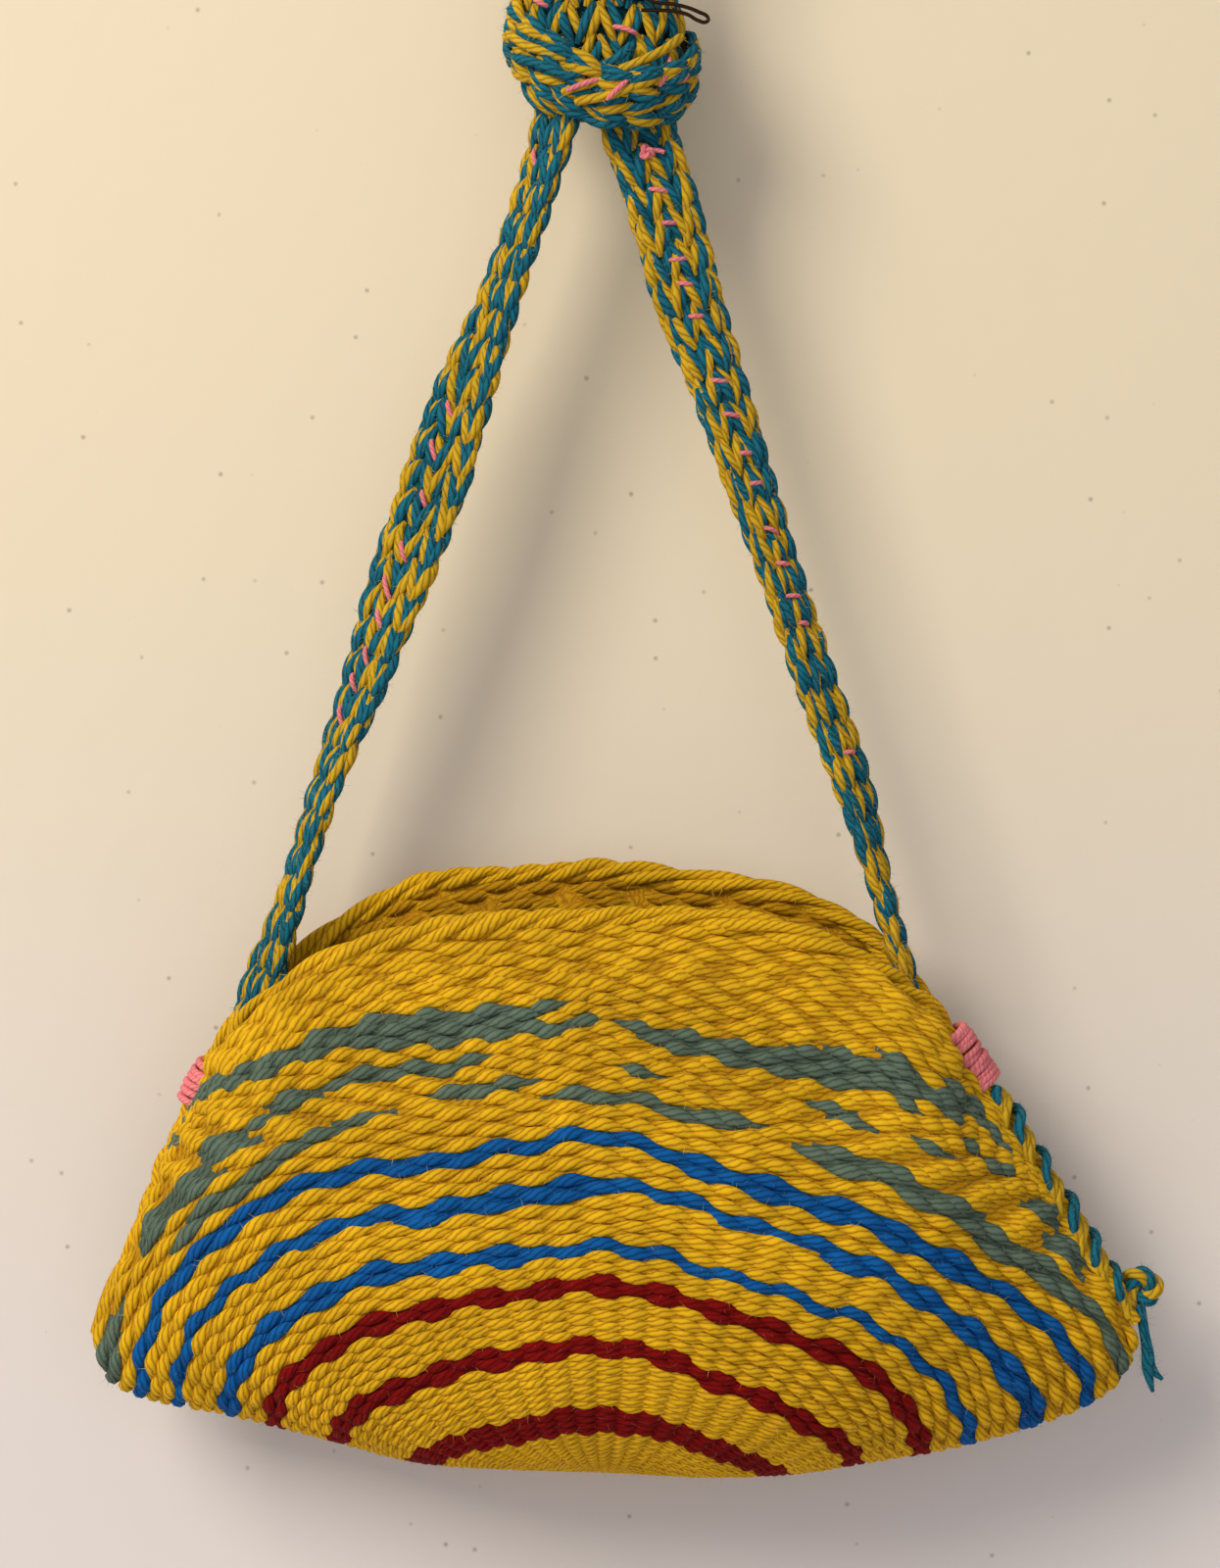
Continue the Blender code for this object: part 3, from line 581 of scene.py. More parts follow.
def fibre_tree():
    """Geometry nodes that leave only loose fibre ends standing out of a piece's yarn."""
    values = (
        ("Density", "Float", 90000.0),
        ("Shortest", "Float", 0.6 * MM),
        ("Longest", "Float", 3.0 * MM),
        ("Seed", "Int", 1),
    )
    tree, given = new_group("loose fibres", values)
    scatter = {"Mesh": given["Geometry"], "Density": given["Density"], "Seed": given["Seed"]}
    spots = add_node(tree, "GeometryNodeDistributePointsOnFaces", scatter).outputs
    cone = {"Vertices": 3, "Radius Top": 0.0, "Radius Bottom": FIBRE_RADIUS, "Depth": 1.0}
    fibre = grow(tree, "GeometryNodeMeshCone", "Mesh", cone, fill_type="NGON")
    spread = {"Min": (-FIBRE_LEAN,) * 3, "Max": (FIBRE_LEAN,) * 3, "Seed": given["Seed"]}
    tilt = grow(tree, "FunctionNodeRandomValue", "Value", spread, data_type="FLOAT_VECTOR")
    both = {0: spots["Normal"], 1: tilt}
    lean = grow(tree, "ShaderNodeVectorMath", 0, both, operation="ADD")
    aim = grow(tree, "FunctionNodeAlignRotationToVector", "Rotation", {"Vector": lean}, axis="Z")
    lengths = {"Seed": given["Seed"], 2: given["Shortest"], 3: given["Longest"]}
    reach = grow(tree, "FunctionNodeRandomValue", 1, lengths, data_type="FLOAT")
    size = grow(tree, "ShaderNodeCombineXYZ", 0, {0: 1.0, 1: 1.0, 2: reach})
    plant = {"Points": spots["Points"], "Instance": fibre, "Rotation": aim, "Scale": size}
    hairs = grow(tree, "GeometryNodeInstanceOnPoints", 0, plant)
    return close_group(tree, hairs, given["Material"])


def apply_tree(made, tree, values):
    """Runs a node tree on an object and leaves its result as a plain mesh."""
    modifier = made.modifiers.new("nodes", "NODES")
    modifier.node_group = tree
    for item in tree.interface.items_tree:
        if item.in_out == "INPUT" and item.name in values:
            modifier[item.identifier] = values[item.name]
    graph = bpy.context.evaluated_depsgraph_get()
    data = bpy.data.meshes.new_from_object(made.evaluated_get(graph), depsgraph=graph)
    made.modifiers.remove(modifier)
    wire = made.data
    made.data = data
    bpy.data.meshes.remove(wire)
    data.name = made.name


def add_object(name, data):
    made = bpy.data.objects.new(name, data)
    bpy.context.scene.collection.objects.link(made)
    return made


def yarn_piece(name, yarns, finish, sides=8):
    """One piece of tubes grown on the gathered centrelines."""
    joined = {key: np.concatenate(parts) for key, parts in yarns.columns.items()}
    starts = np.concatenate(yarns.edges)
    data = bpy.data.meshes.new(name)
    data.from_pydata(joined["centre"].tolist(), np.stack([starts, starts + 1], axis=1).tolist(), [])
    for key, values in joined.items():
        kind, field = ("FLOAT_VECTOR", "vector") if values.ndim == 2 else ("FLOAT", "value")
        attribute = data.attributes.new(key, kind, "POINT")
        attribute.data.foreach_set(field, values.astype(np.float32).ravel())
    made = add_object(name, data)
    apply_tree(made, yarn_tree(), {"Sides": sides, "Plumpness": 1.0, "Material": finish})
    for key in joined.keys() - {"dip"}:
        spare = made.data.attributes.get(key)
        if spare:
            made.data.attributes.remove(spare)
    if not made.data.materials:
        made.data.materials.append(finish)
    return made


def wool(name, colour, groove_shade, dip_shade_colour=None, plies=5, lay=14.0, relief=0.35):
    """Plied wool: soft ridges wind round the yarn, with painted shade between them and in the dips
    between yarns, matt with a faint sheen.

    It reads the yarn's own twist attribute, so the plies follow each strand.
    """
    made = bpy.data.materials.new(name)
    made.use_nodes = True
    tree = made.node_tree
    shader = tree.nodes["Principled BSDF"].inputs
    twist = grow(tree, "ShaderNodeAttribute", "Vector", attribute_name="twist")
    parts = add_node(tree, "ShaderNodeSeparateXYZ", {0: twist}).outputs
    angle = maths(tree, "ARCTAN2", parts[1], parts[0])
    wound = maths(tree, "MULTIPLY", parts[2], 2 * math.pi * plies / (lay * MM))
    phase = maths(tree, "SUBTRACT", maths(tree, "MULTIPLY", angle, plies), wound)
    place = grow(tree, "ShaderNodeTexCoord", "Object")
    stray = maths(tree, "SUBTRACT", noise(tree, place, 420.0, 1.0), 0.5)
    phase = maths(tree, "ADD", phase, maths(tree, "MULTIPLY", stray, PLY_STRAY))
    ridge = maths(tree, "ABSOLUTE", maths(tree, "SINE", maths(tree, "MULTIPLY", phase, 0.5)))
    ridge = maths(tree, "POWER", ridge, 0.6)
    along = maths(tree, "MULTIPLY", parts[2], 250.0)
    strand = {0: maths(tree, "MULTIPLY", phase, 1.3), 1: along, 2: 0.0}
    fibres = noise(tree, grow(tree, "ShaderNodeCombineXYZ", 0, strand), 2.2, 3.0)
    patches = noise(tree, place, 55.0, 2.0)
    # Painted shade: the groove colour darkens the yarn between its plies
    lit = mix_colour(tree, ridge, linear(groove_shade), linear(colour))
    uneven = maths(tree, "ADD", patches, maths(tree, "MULTIPLY", fibres, 0.5))
    scaled = {0: lit, "Scale": map_range(tree, uneven, 0.45, 1.05, 0.80, 1.18)}
    dyed = grow(tree, "ShaderNodeVectorMath", "Vector", scaled, operation="SCALE")
    dip = grow(tree, "ShaderNodeAttribute", "Fac", attribute_name="dip")
    # Painted shade: the yarn darkens towards its deep colour where it dips between yarns
    dip_shaded = mix_colour(tree, maths(tree, "MULTIPLY", dip, DIP_SHADE), dyed, linear(dip_shade_colour or groove_shade))
    tree.links.new(dip_shaded, shader["Base Color"])
    raised = maths(tree, "MULTIPLY", ridge, relief)
    height = maths(tree, "ADD", raised, maths(tree, "MULTIPLY", fibres, 0.15))
    bump = {"Height": height, "Distance": 0.8 * MM, "Strength": 1.0}
    tree.links.new(grow(tree, "ShaderNodeBump", 0, bump), shader["Normal"])
    shader["Roughness"].default_value = 0.86
    shader["Specular IOR Level"].default_value = 0.12
    shader["Sheen Weight"].default_value = 0.08
    shader["Sheen Roughness"].default_value = 0.5
    shader["Sheen Tint"].default_value = linear(colour)
    made.diffuse_color = linear(colour)
    return made


def plain(name, colour, roughness, metallic=0.0):
    """One even colour: dull for fibre ends and paint, bright for wire."""
    made = bpy.data.materials.new(name)
    made.use_nodes = True
    shader = made.node_tree.nodes["Principled BSDF"].inputs
    shader["Base Color"].default_value = linear(colour)
    shader["Roughness"].default_value = roughness
    shader["Metallic"].default_value = metallic
    made.diffuse_color = linear(colour)
    return made


def plaster(name, colour, low_light_colour):
    """Matt wall paint with small pits; its change from warm above to cool grey below is painted
    light.

    It is clear from behind, so that the bag's back can be seen.
    """
    made = plain(name, colour, 0.92)
    tree = made.node_tree
    shader = tree.nodes["Principled BSDF"]
    place = grow(tree, "ShaderNodeTexCoord", "Object")
    cells = add_node(tree, "ShaderNodeTexVoronoi", {"Vector": place, "Scale": 95.0}).outputs
    pit = map_range(tree, cells["Distance"], 0.02, 0.085, 1.0, 0.0)
    pick = grow(tree, "ShaderNodeSeparateXYZ", 0, {0: cells["Color"]})
    mark = maths(tree, "MULTIPLY", pit, maths(tree, "GREATER_THAN", pick, 0.3))
    level = grow(tree, "ShaderNodeSeparateXYZ", 2, {0: place})
    # Painted light: warm cream high up, cool grey low down
    low = map_range(tree, level, *WALL_LIGHT_FADE, 0.0, 1.0, interpolation_type="SMOOTHSTEP")
    base = mix_colour(tree, low, linear(colour), linear(low_light_colour))
    shade = mix_colour(tree, maths(tree, "MULTIPLY", mark, 0.5), base, linear("5F5550"))
    tree.links.new(shade, shader.inputs["Base Color"])
    bump = {"Height": noise(tree, place, 90.0, 5.0), "Distance": 0.35 * MM, "Strength": 0.5}
    tree.links.new(grow(tree, "ShaderNodeBump", 0, bump), shader.inputs["Normal"])
    behind = grow(tree, "ShaderNodeNewGeometry", "Backfacing")
    clear = grow(tree, "ShaderNodeBsdfTransparent", 0)
    sides = {0: behind, 1: shader.outputs[0], 2: clear}
    both = grow(tree, "ShaderNodeMixShader", 0, sides)
    tree.links.new(both, tree.nodes["Material Output"].inputs["Surface"])
    return made


def pitch_at(radius):
    """The distance between rows of weft, finer towards the middle of the disc."""
    outer = bpy.context.scene.woven_bag.row_pitch / MM
    return float(np.interp(radius / MM, PITCH_RADII, (*FINE_PITCHES, outer))) * MM


def row_radii():
    """Radii of the rows of weft in the flat disc."""
    radii = [FIRST_ROW]
    while radii[-1] < DISC_RADIUS - RIM_ROOM:
        radii.append(radii[-1] + pitch_at(radii[-1]))
    return radii


def dye_at(radius, x):
    """The dye of the row with this radius at each x."""
    dyes = np.full(len(x), "yellow", dtype=object)
    for stripe in STRIPES:
        if stripe.inner * MM <= radius <= stripe.outer * MM:
            inside = (x > stripe.start * MM) & (x < stripe.end * MM)
            dyes[inside] = stripe.dye
    return dyes


def warp_share(radius):
    """How many warps half of a ring passes: more are laid in as the disc grows."""
    if radius < 75 * MM:
        return 27
    return 32 if radius < 118 * MM else 38


def weave_row(row, radius, gathered):
    """One round of weft, over and under the warps, on the front and then on the back."""
    front, back = ring_line(radius, FRONT), ring_line(radius, BACK)
    dense = []
    for (x, h), side in ((front, FRONT), ((back[0][::-1], back[1][::-1]), BACK)):
        points, outward = wall_frame(x, h, side, WALL / 2)
        dense.append((side, points, outward, run_length(points), x))
    bump = (dense[0][3][-1] + dense[1][3][-1]) / (2 * warp_share(radius))
    centre = np.interp(0.0, dense[0][4], dense[0][3])
    pitch = pitch_at(radius)
    steps = 5 if radius > 90 * MM else 4
    loose = smooth_step((radius - LOOSE_START) / LOOSE_RUN)
    stray = float(np.random.default_rng(row).normal())
    passed = 0.0
    for side, points, outward, run, x in dense:
        number = max(int(round(run[-1] / bump * steps)), 4)
        at = np.linspace(0.0, run[-1], number + 1)
        place = follow(at, run, points)
        normal = unit(follow(at, run, outward))
        drift = 0.5 * np.sin(place[:, 0] / (37 * MM) + radius / (15 * MM))
        drift = drift + loose * (0.5 * stray + 0.6 * np.sin(place[:, 0] / (23 * MM) + 1.9 * row))
        phase = math.pi * (at + passed - centre) / bump + math.pi * row + drift
        wave = np.cos(phase)
        place = place + normal * (ROW_WAVE * pitch * wave)[:, None]
        uneven = np.sin(at / (9.3 * MM) + 2.3 * row) + np.sin(at / (21 * MM) + 5.1 * row)
        fat = pitch * (0.65 + 0.47 * np.abs(wave) + 0.045 * uneven)
        # Painted shade where the weft dips under the warps
        dip = 1 - smooth_step(wave + 0.6)
        bump_middle = 2 * math.pi * np.round(phase / (2 * math.pi))
        dyes = dye_at(radius, np.interp(np.interp(bump_middle, phase, at), run, x))
        cuts = [0] + [i for i in range(1, number + 1) if dyes[i] != dyes[i - 1]] + [number]
        for low, high in zip(cuts, cuts[1:]):
            if high - low < 2:
                continue
            part = slice(low, high + 1)
            yarns = gathered.setdefault((dyes[(low + high) // 2], side), Yarns())
            start = passed + at[low]
            yarns.add(place[part], normal[part], fat[part], ROW_FLATNESS, start, dip[part])
        passed += run[-1]


def coil(yarns, line, axes, reach, phase, fat, start=0.0):
    """A strand that winds round a line, at a reach along each of two axes."""
    cosine, sine = np.cos(phase)[:, None], np.sin(phase)[:, None]
    points = line + axes[0] * reach[0] * cosine + axes[1] * reach[1] * sine
    lift = unit(axes[0] * cosine * reach[1] + axes[1] * sine * reach[0])
    yarns.add(points, lift, fat, 1.0, start=start)


def edge_line(x, side, drop):
    """A line this far under the cloth's top edge, with its directions up and to the back."""
    points = wall_frame(x, body_height(x, side) - drop, side, WALL / 2)[0]
    close = closing(x)
    seam_y = BAG_ORIGIN[1] + side * RIM_SIDE
    points[:, 1] += (seam_y - points[:, 1]) * close
    tangent = unit(np.gradient(points, axis=0))
    back = np.broadcast_to((0.0, 1.0, 0.0), points.shape)
    return points, unit(np.cross(tangent, back) * -1), back


def roll_rims(gathered):
    """Three strands laid into a rope along each rim."""
    first, last = BODY_SECTIONS[0].x * MM + 1.2 * MM, BODY_SECTIONS[-1].x * MM - 1.0 * MM
    x = np.linspace(first, last, 330)
    for side in (FRONT, BACK):
        line, up, back = edge_line(x, side, RIM_DROP)
        run = run_length(line)
        swell = 1 + 0.12 * np.sin(run / (17 * MM) + side) + 0.07 * np.sin(run / (6.1 * MM))
        for strand in range(3):
            turn = 2 * math.pi * (strand / 3 - run / RIM_LAY) + 1.3 * np.sin(run / (19 * MM))
            reach = RIM_STRAND * swell[:, None]
            fat = RIM_STRAND * swell * (1 + 0.17 * np.sin(run / (5 * MM) + 2 * strand))
            key = ("yellow", side)
            coil(gathered[key], line, (up, back), (reach, reach), turn, fat, start=run[-1] * strand)


class WeaveBag(bpy.types.Operator):
    """Lay every row of weft over the folded disc, in its dyes."""

    bl_idname = "woven_bag.weave"
    bl_label = "Weave the cloth"

    def execute(self, context):
        dyes = context.scene.woven_bag
        finishes = {
            "yellow": wool("plied_wool_yellow", dyes.yellow, "A0680A", dip_shade_colour="7E4204", lay=17.0),
            "grey": wool("plied_wool_grey_green", dyes.grey, "3C483E", lay=17.0),
            "blue": wool("plied_wool_blue", dyes.blue, "04366A", lay=17.0),
            "red": wool("plied_wool_red", dyes.red, "560406", lay=17.0),
        }
        gathered = {}
        for row, radius in enumerate(row_radii()):
            weave_row(row, radius, gathered)
        roll_rims(gathered)
        names = {FRONT: "front", BACK: "back"}
        for (dye, side), yarns in sorted(gathered.items()):
            name = f"weft_{dye}_{names[side]}"
            sides = dyes.sides if side == FRONT else dyes.sides - 1
            piece = yarn_piece(name, yarns, finishes[dye], sides)
            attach(piece, "root")
        backing = build_backing(finishes["yellow"])
        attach(backing, "root")
        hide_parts("bag_body")
        return {"FINISHED"}


class Band:
    """A knitted band's middle line, with its directions, read by distance along it."""

    def __init__(self, points, across, outward, width, thick):
        self.points, self.across, self.outward = points, across, outward
        self.width = np.broadcast_to(width, (len(points),))
        self.thick = np.broadcast_to(thick, (len(points),))
        self.run = run_length(points)
        self.length = self.run[-1]

    def at(self, distance):
        """The middle, across, outward, width and thickness at these distances."""
        distance = np.asarray(distance, dtype=float)
        beyond = np.clip(distance, 0.0, self.length) - distance
        first = unit(self.points[1] - self.points[0])
        last = unit(self.points[-1] - self.points[-2])
        ahead = np.where((distance > self.length / 2)[..., None], last, first)
        middle = follow(distance, self.run, self.points) - ahead * beyond[..., None]
        across = unit(follow(distance, self.run, self.across))
        outward = unit(follow(distance, self.run, self.outward))
        width = np.interp(distance, self.run, self.width)
        thick = np.interp(distance, self.run, self.thick)
        return middle, across, outward, width, thick


def leg_band(table):
    z = np.linspace(table[0].z, table[-1].z, 240)
    x, y, width, turn = (read(table, name, "z", z) for name in ("x", "y", "width", "turn"))
    points = np.stack([x, y, z], axis=1) * MM
    along = unit(np.gradient(points, axis=0))
    flat = unit(np.cross(along, (0.0, 1.0, 0.0)))
    angle = np.radians(turn)[:, None]
    across = flat * np.cos(angle) + np.cross(flat, along) * np.sin(angle)
    return Band(points, across, np.cross(across, along), width * MM, STRAP_THICKNESS)


def loop_band():
    """Up from the knot's left half, over the top and down into its right half."""
    top = STRAP_THICKNESS / 2 - LOOP_RADIUS
    share = np.linspace(0.0, 1.0, 60)
    x = LOOP_SPREAD + (LOOP_RADIUS - LOOP_SPREAD) * share
    z = LOOP_FOOT + (top - LOOP_FOOT) * share
    turn = np.linspace(0.0, math.pi, 60)[1:-1]
    arc_x, arc_z = -LOOP_RADIUS * np.cos(turn), top + LOOP_RADIUS * np.sin(turn)
    xs = np.concatenate([-x, arc_x, x[::-1]])
    zs = np.concatenate([z, arc_z, z[::-1]])
    turned = np.concatenate([smooth_step(share), np.ones(len(turn)), smooth_step(share[::-1])])
    points = np.stack([xs, np.zeros(len(xs)), zs], axis=1)
    along = unit(np.gradient(points, axis=0))
    flat = unit(np.cross(along, (0.0, 1.0, 0.0)))
    angle = (turned * math.pi / 2)[:, None]
    across = flat * np.cos(angle) + np.array((0.0, 1.0, 0.0)) * np.sin(angle)
    outward = unit(np.cross(across, along))
    return Band(points, across, outward, LOOP_WIDTH, STRAP_THICKNESS)


def wrap_band():
    """The band drawn round the knot."""
    turn = np.linspace(0.0, 360.0, 181)
    angle = np.radians(turn)
    height = read(KNOT_WRAP, "height", "turn", turn) * MM
    swing = np.stack(
        [WRAP_REACH[0] * np.cos(angle), -WRAP_REACH[1] * np.sin(angle), height], axis=1
    )
    points = KNOT_CENTRE + swing
    along = unit(np.roll(swing[:-1], -1, axis=0) - np.roll(swing[:-1], 1, axis=0))
    along = np.concatenate([along, along[:1]])
    outward = swing * (1.0, 1.0, 0.6)
    outward = unit(outward - along * np.sum(outward * along, axis=1, keepdims=True))
    return Band(points, np.cross(along, outward), outward, WRAP_WIDTH, WRAP_THICKNESS)


def heart_band():
    """The knot's middle, knitted all round."""
    share = np.linspace(-0.96, 0.96, 80)
    bulge = (1 - np.abs(share) ** 3.2) ** (1 / 3.2)
    points = KNOT_CENTRE + np.outer(share, (0.0, 0.0, KNOT_CORE[2]))
    across = np.broadcast_to((1.0, 0.0, 0.0), points.shape)
    outward = np.broadcast_to((0.0, -1.0, 0.0), points.shape)
    return Band(points, across, outward, 2 * KNOT_CORE[0] * bulge, 2 * KNOT_CORE[1] * bulge)


def other_dye(dye):
    return "yellow" if dye == "teal" else "teal"


def lay_arm(yarns, band, along, place, face, columns, strand, pick):
    """One strand of a stitch's arm, over the band's face at these distances and places."""
    spindle = np.sin(math.pi * np.clip(np.linspace(0.0, 1.0, len(along)), 0.04, 0.96))
    swing = np.clip(place, -1.0, 1.0) * math.pi / 2
    centre, across, outward, width, thick = band.at(along)
    facing = outward * face
    girth = float(width.mean() + thick.mean())
    size = min(girth / columns / 4 * 1.12, THICKEST_STRAND)
    sideways = (width / 2 - 0.6 * size) * np.sin(swing)
    bow = np.sqrt(np.maximum(np.cos(swing), 0.0)) * (thick / 2 - 0.6 * size)
    normal = unit(across * np.sin(swing)[:, None] + facing * np.cos(swing)[:, None])
    lift = (spindle - 0.7) * 0.9 * MM + strand * 0.32 * MM
    points = centre + across * sideways[:, None] + facing * bow[:, None] + normal * lift[:, None]
    size = size * 0.68 * (1 + pick.normal(0, 0.07))
    fat = size * (0.45 + 0.62 * spindle**0.8)
    # Painted shade at the narrow ends of each arm, where it dips between stitches
    yarns.add(points, normal, fat, 0.95, start=pick.random(), dip=0.8 * (1 - spindle))


def knit(gathered, band, columns, seed, faces=(1, -1), flip=1):
    """Rows of knitted stitches round a band: two leaning arms of two strands to each stitch."""
    stitch = bpy.context.scene.bag_strap.stitch
    pick = np.random.default_rng(seed)
    rows = int(round(band.length / stitch))
    t = np.linspace(0.0, 1.0, STITCH_POINTS)
    rise = t if flip > 0 else 1 - t
    latest = {}
    for row, face, column in product(range(rows), faces, range(columns)):
        low = band.length * (row + (0.0 if face > 0 else 0.5)) / rows
        middle = (column + 0.5) / columns * 2 - 1
        dye = str(latest.get((face, column), pick.choice(("teal", "yellow"))))
        if pick.random() < (0.78 if dye == "yellow" else 0.5):
            dye = other_dye(dye)
        latest[face, column] = dye
        for arm in (-1, 1):
            if arm > 0 and pick.random() < 0.42:
                dye = other_dye(dye)
            lean = pick.normal(0.0, 0.06)
            slide = pick.normal(0.0, 0.05)
            over = pick.choice((-1, 1))
            for strand in (-1, 1):
                shift = lean + strand * over * 0.25
                along = low + stitch * (-0.13 + 1.26 * t + slide - 0.05 * strand)
                place = middle + arm * (0.06 + 0.86 * rise + shift) / columns
                held = dye if strand > 0 else other_dye(dye)
                lay_arm(gathered[held], band, along, place, face, columns, strand, pick)


def band_core(gathered, band, fullness=0.72):
    """What fills the band between its faces, so that no light comes through; its darker teal is
    painted shade.
    """
    along = np.linspace(0.5 * MM, band.length - 0.5 * MM, max(int(band.length / (4 * MM)), 8))
    centre, _, outward, width, thick = band.at(along)
    gathered["core"].add(centre, outward, width / 2 * 0.82, thick / width * fullness)


def cross_knot(gathered):
    """The long strands drawn over the knot's front."""
    for dye, spots in KNOT_STRANDS:
        flat = smooth_line([(x, 0.0, z) for x, z in spots], 22)
        share = np.linspace(0.0, 1.0, len(flat))
        reach = WRAP_REACH[0] + WRAP_THICKNESS / 2 + 1.2 * MM
        round_y = np.sqrt(np.maximum(1 - (flat[:, 0] / reach) ** 2, 0.0))
        tuck = 2.6 * MM * np.abs(2 * share - 1) ** 4
        flat[:, 1] = tuck - (WRAP_REACH[1] + WRAP_THICKNESS / 2 + 0.5 * MM) * round_y
        outward = unit(flat * (1.0, 2.0, 0.0))
        gathered[dye].add(flat, outward, 1.3 * MM, 0.95, start=spots[0][0] * MM)


class KnitStrap(bpy.types.Operator):
    """Knit the strap's two legs, its knot and its hanging loop."""

    bl_idname = "woven_bag.strap"
    bl_label = "Knit the strap"

    def execute(self, context):
        dyes = context.scene.bag_strap
        finishes = {
            "teal": wool("plied_wool_teal", dyes.teal, "0A3340", lay=15.0, plies=4),
            "yellow": wool("plied_wool_strap_yellow", dyes.yellow, "8F6A12", lay=15.0, plies=4),
            # The core's dark teal is painted shade in the gaps between stitches
            "core": wool("wool_inside_knit", "14525F", "0A2A30"),
        }
        gathered = {key: Yarns() for key in finishes}
        left, right, loop, wrap = leg_band(LEFT_LEG), leg_band(RIGHT_LEG), loop_band(), wrap_band()
        heart = heart_band()
        for number, (band, flip) in enumerate(((left, 1), (right, -1), (loop, 1))):
            knit(gathered, band, 3, 11 + number, flip=flip)
            band_core(gathered, band)
        knit(gathered, wrap, 3, 31, faces=(1,))
        knit(gathered, heart, 6, 41)
        band_core(gathered, heart, fullness=1.05)
        cross_knot(gathered)
        for dye, yarns in gathered.items():
            piece = yarn_piece(f"strap_{dye}", yarns, finishes[dye], 6)
            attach(piece, "root")
        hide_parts("strap")
        return {"FINISHED"}


def smooth_line(spots, number):
    """A smooth line through given spots, in mm."""
    spots = np.array(spots)
    knots = run_length(spots)
    at = np.linspace(0.0, knots[-1], number)
    slopes = np.gradient(spots, knots, axis=0)
    i = np.clip(np.searchsorted(knots, at) - 1, 0, len(knots) - 2)
    span = knots[i + 1] - knots[i]
    t = ((at - knots[i]) / span)[:, None]
    bend = slopes[i] * span[:, None] * t * (1 - t) ** 2
    bend = bend - slopes[i + 1] * span[:, None] * t * t * (1 - t)
    return (spots[i] + (spots[i + 1] - spots[i]) * t * t * (3 - 2 * t) + bend) * MM


def dash(yarns, middle, direction, outward, length, fat):
    """One short stitch that comes up, lies on the face and goes down again."""
    t = np.linspace(-1.0, 1.0, 9)
    arch = (1 - np.abs(t) ** 3)[:, None]
    points = middle + direction * (t * length / 2)[:, None] + outward * (arch - 0.75) * 1.3 * MM
    yarns.add(points, outward, fat * (0.8 + 0.2 * arch[:, 0]))


def leg_face(band, z):
    """The middle of a leg's near face at a height, with the way along, across and outward."""
    distance = np.interp(z, band.points[:, 2], band.run)
    centre, across, outward, _, thick = band.at(np.array([distance]))
    near = -1.0 if outward[0][1] > 0 else 1.0
    outward = outward[0] * near
    return centre[0] + outward * thick[0] / 2, np.cross(outward, across[0]), across[0], outward


def small_knot(size, rise, number):
    """The loops of a tight knot round its own middle: across, up and out."""
    turn = np.linspace(0.0, 2 * math.pi, number)
    across = np.sin(turn) + 2 * np.sin(2 * turn)
    up = np.cos(turn) - 2 * np.cos(2 * turn)
    return np.stack([across, up, -rise * np.sin(3 * turn)], axis=1) * size * MM


def knot_spot(x, z):
    """A point on the knot's front, at these mm across and up."""
    depth = WRAP_REACH[1] + WRAP_THICKNESS / 2 if z < WRAP_TOP else KNOT_CORE[1]
    reach = WRAP_REACH[0] + WRAP_THICKNESS / 2
    inward = math.sqrt(max(1 - (x * MM / reach) ** 2, 0.02))
    return np.array((x * MM, -(depth + KNOT_DASH_RISE) * inward, z * MM))


def sew_strap(pink):
    """The pink running stitches on the strap's legs and knot, and their thread's knot."""
    left, right = leg_band(LEFT_LEG), leg_band(RIGHT_LEG)
    pick = np.random.default_rng(7)
    for z in RIGHT_DASHES:
        middle, along, across, outward = leg_face(right, z * MM)
        right_hand = across * np.sign(across[0])
        direction = unit(right_hand - np.array((0.0, 0.0, pick.uniform(0.15, 0.6))))
        length = pick.uniform(4.0, 5.4) * MM
        middle = middle + along * pick.normal(0.0, 0.4 * MM)
        dash(pink, middle, direction, outward, length, 0.66 * MM)
    for z in LEFT_DASHES:
        middle, along, across, outward = leg_face(left, z * MM)
        direction = unit(np.array((pick.uniform(0.12, 0.45), 0.0, -1.0)))
        length = pick.uniform(5.0, 7.5) * MM
        middle = middle + across * pick.normal(0.0, 0.8 * MM)
        dash(pink, middle, direction, outward, length, 0.7 * MM)
    for start, end in KNOT_DASHES:
        first, last = knot_spot(*start), knot_spot(*end)
        middle = (first + last) / 2
        length = float(np.linalg.norm(last - first)) + 1.5 * MM
        dash(pink, middle, unit(last - first), unit(middle * (1.0, 2.0, 0.0)), length, 0.72 * MM)
    middle, along, across, outward = leg_face(right, THREAD_KNOT * MM)
    ball = middle + outward * 0.9 * MM
    points = ball + small_knot(0.55, 1.4, 49) @ np.stack([across, along, outward])
    pink.add(points, unit(points - ball), 0.72 * MM)
    right_hand = across * np.sign(across[0])
    tail = [ball + right_hand * aside * MM - np.array((0.0, 0.0, fall * MM))
            for aside, fall in THREAD_TAIL]
    pink.add(np.array(tail), outward, 0.62 * MM)


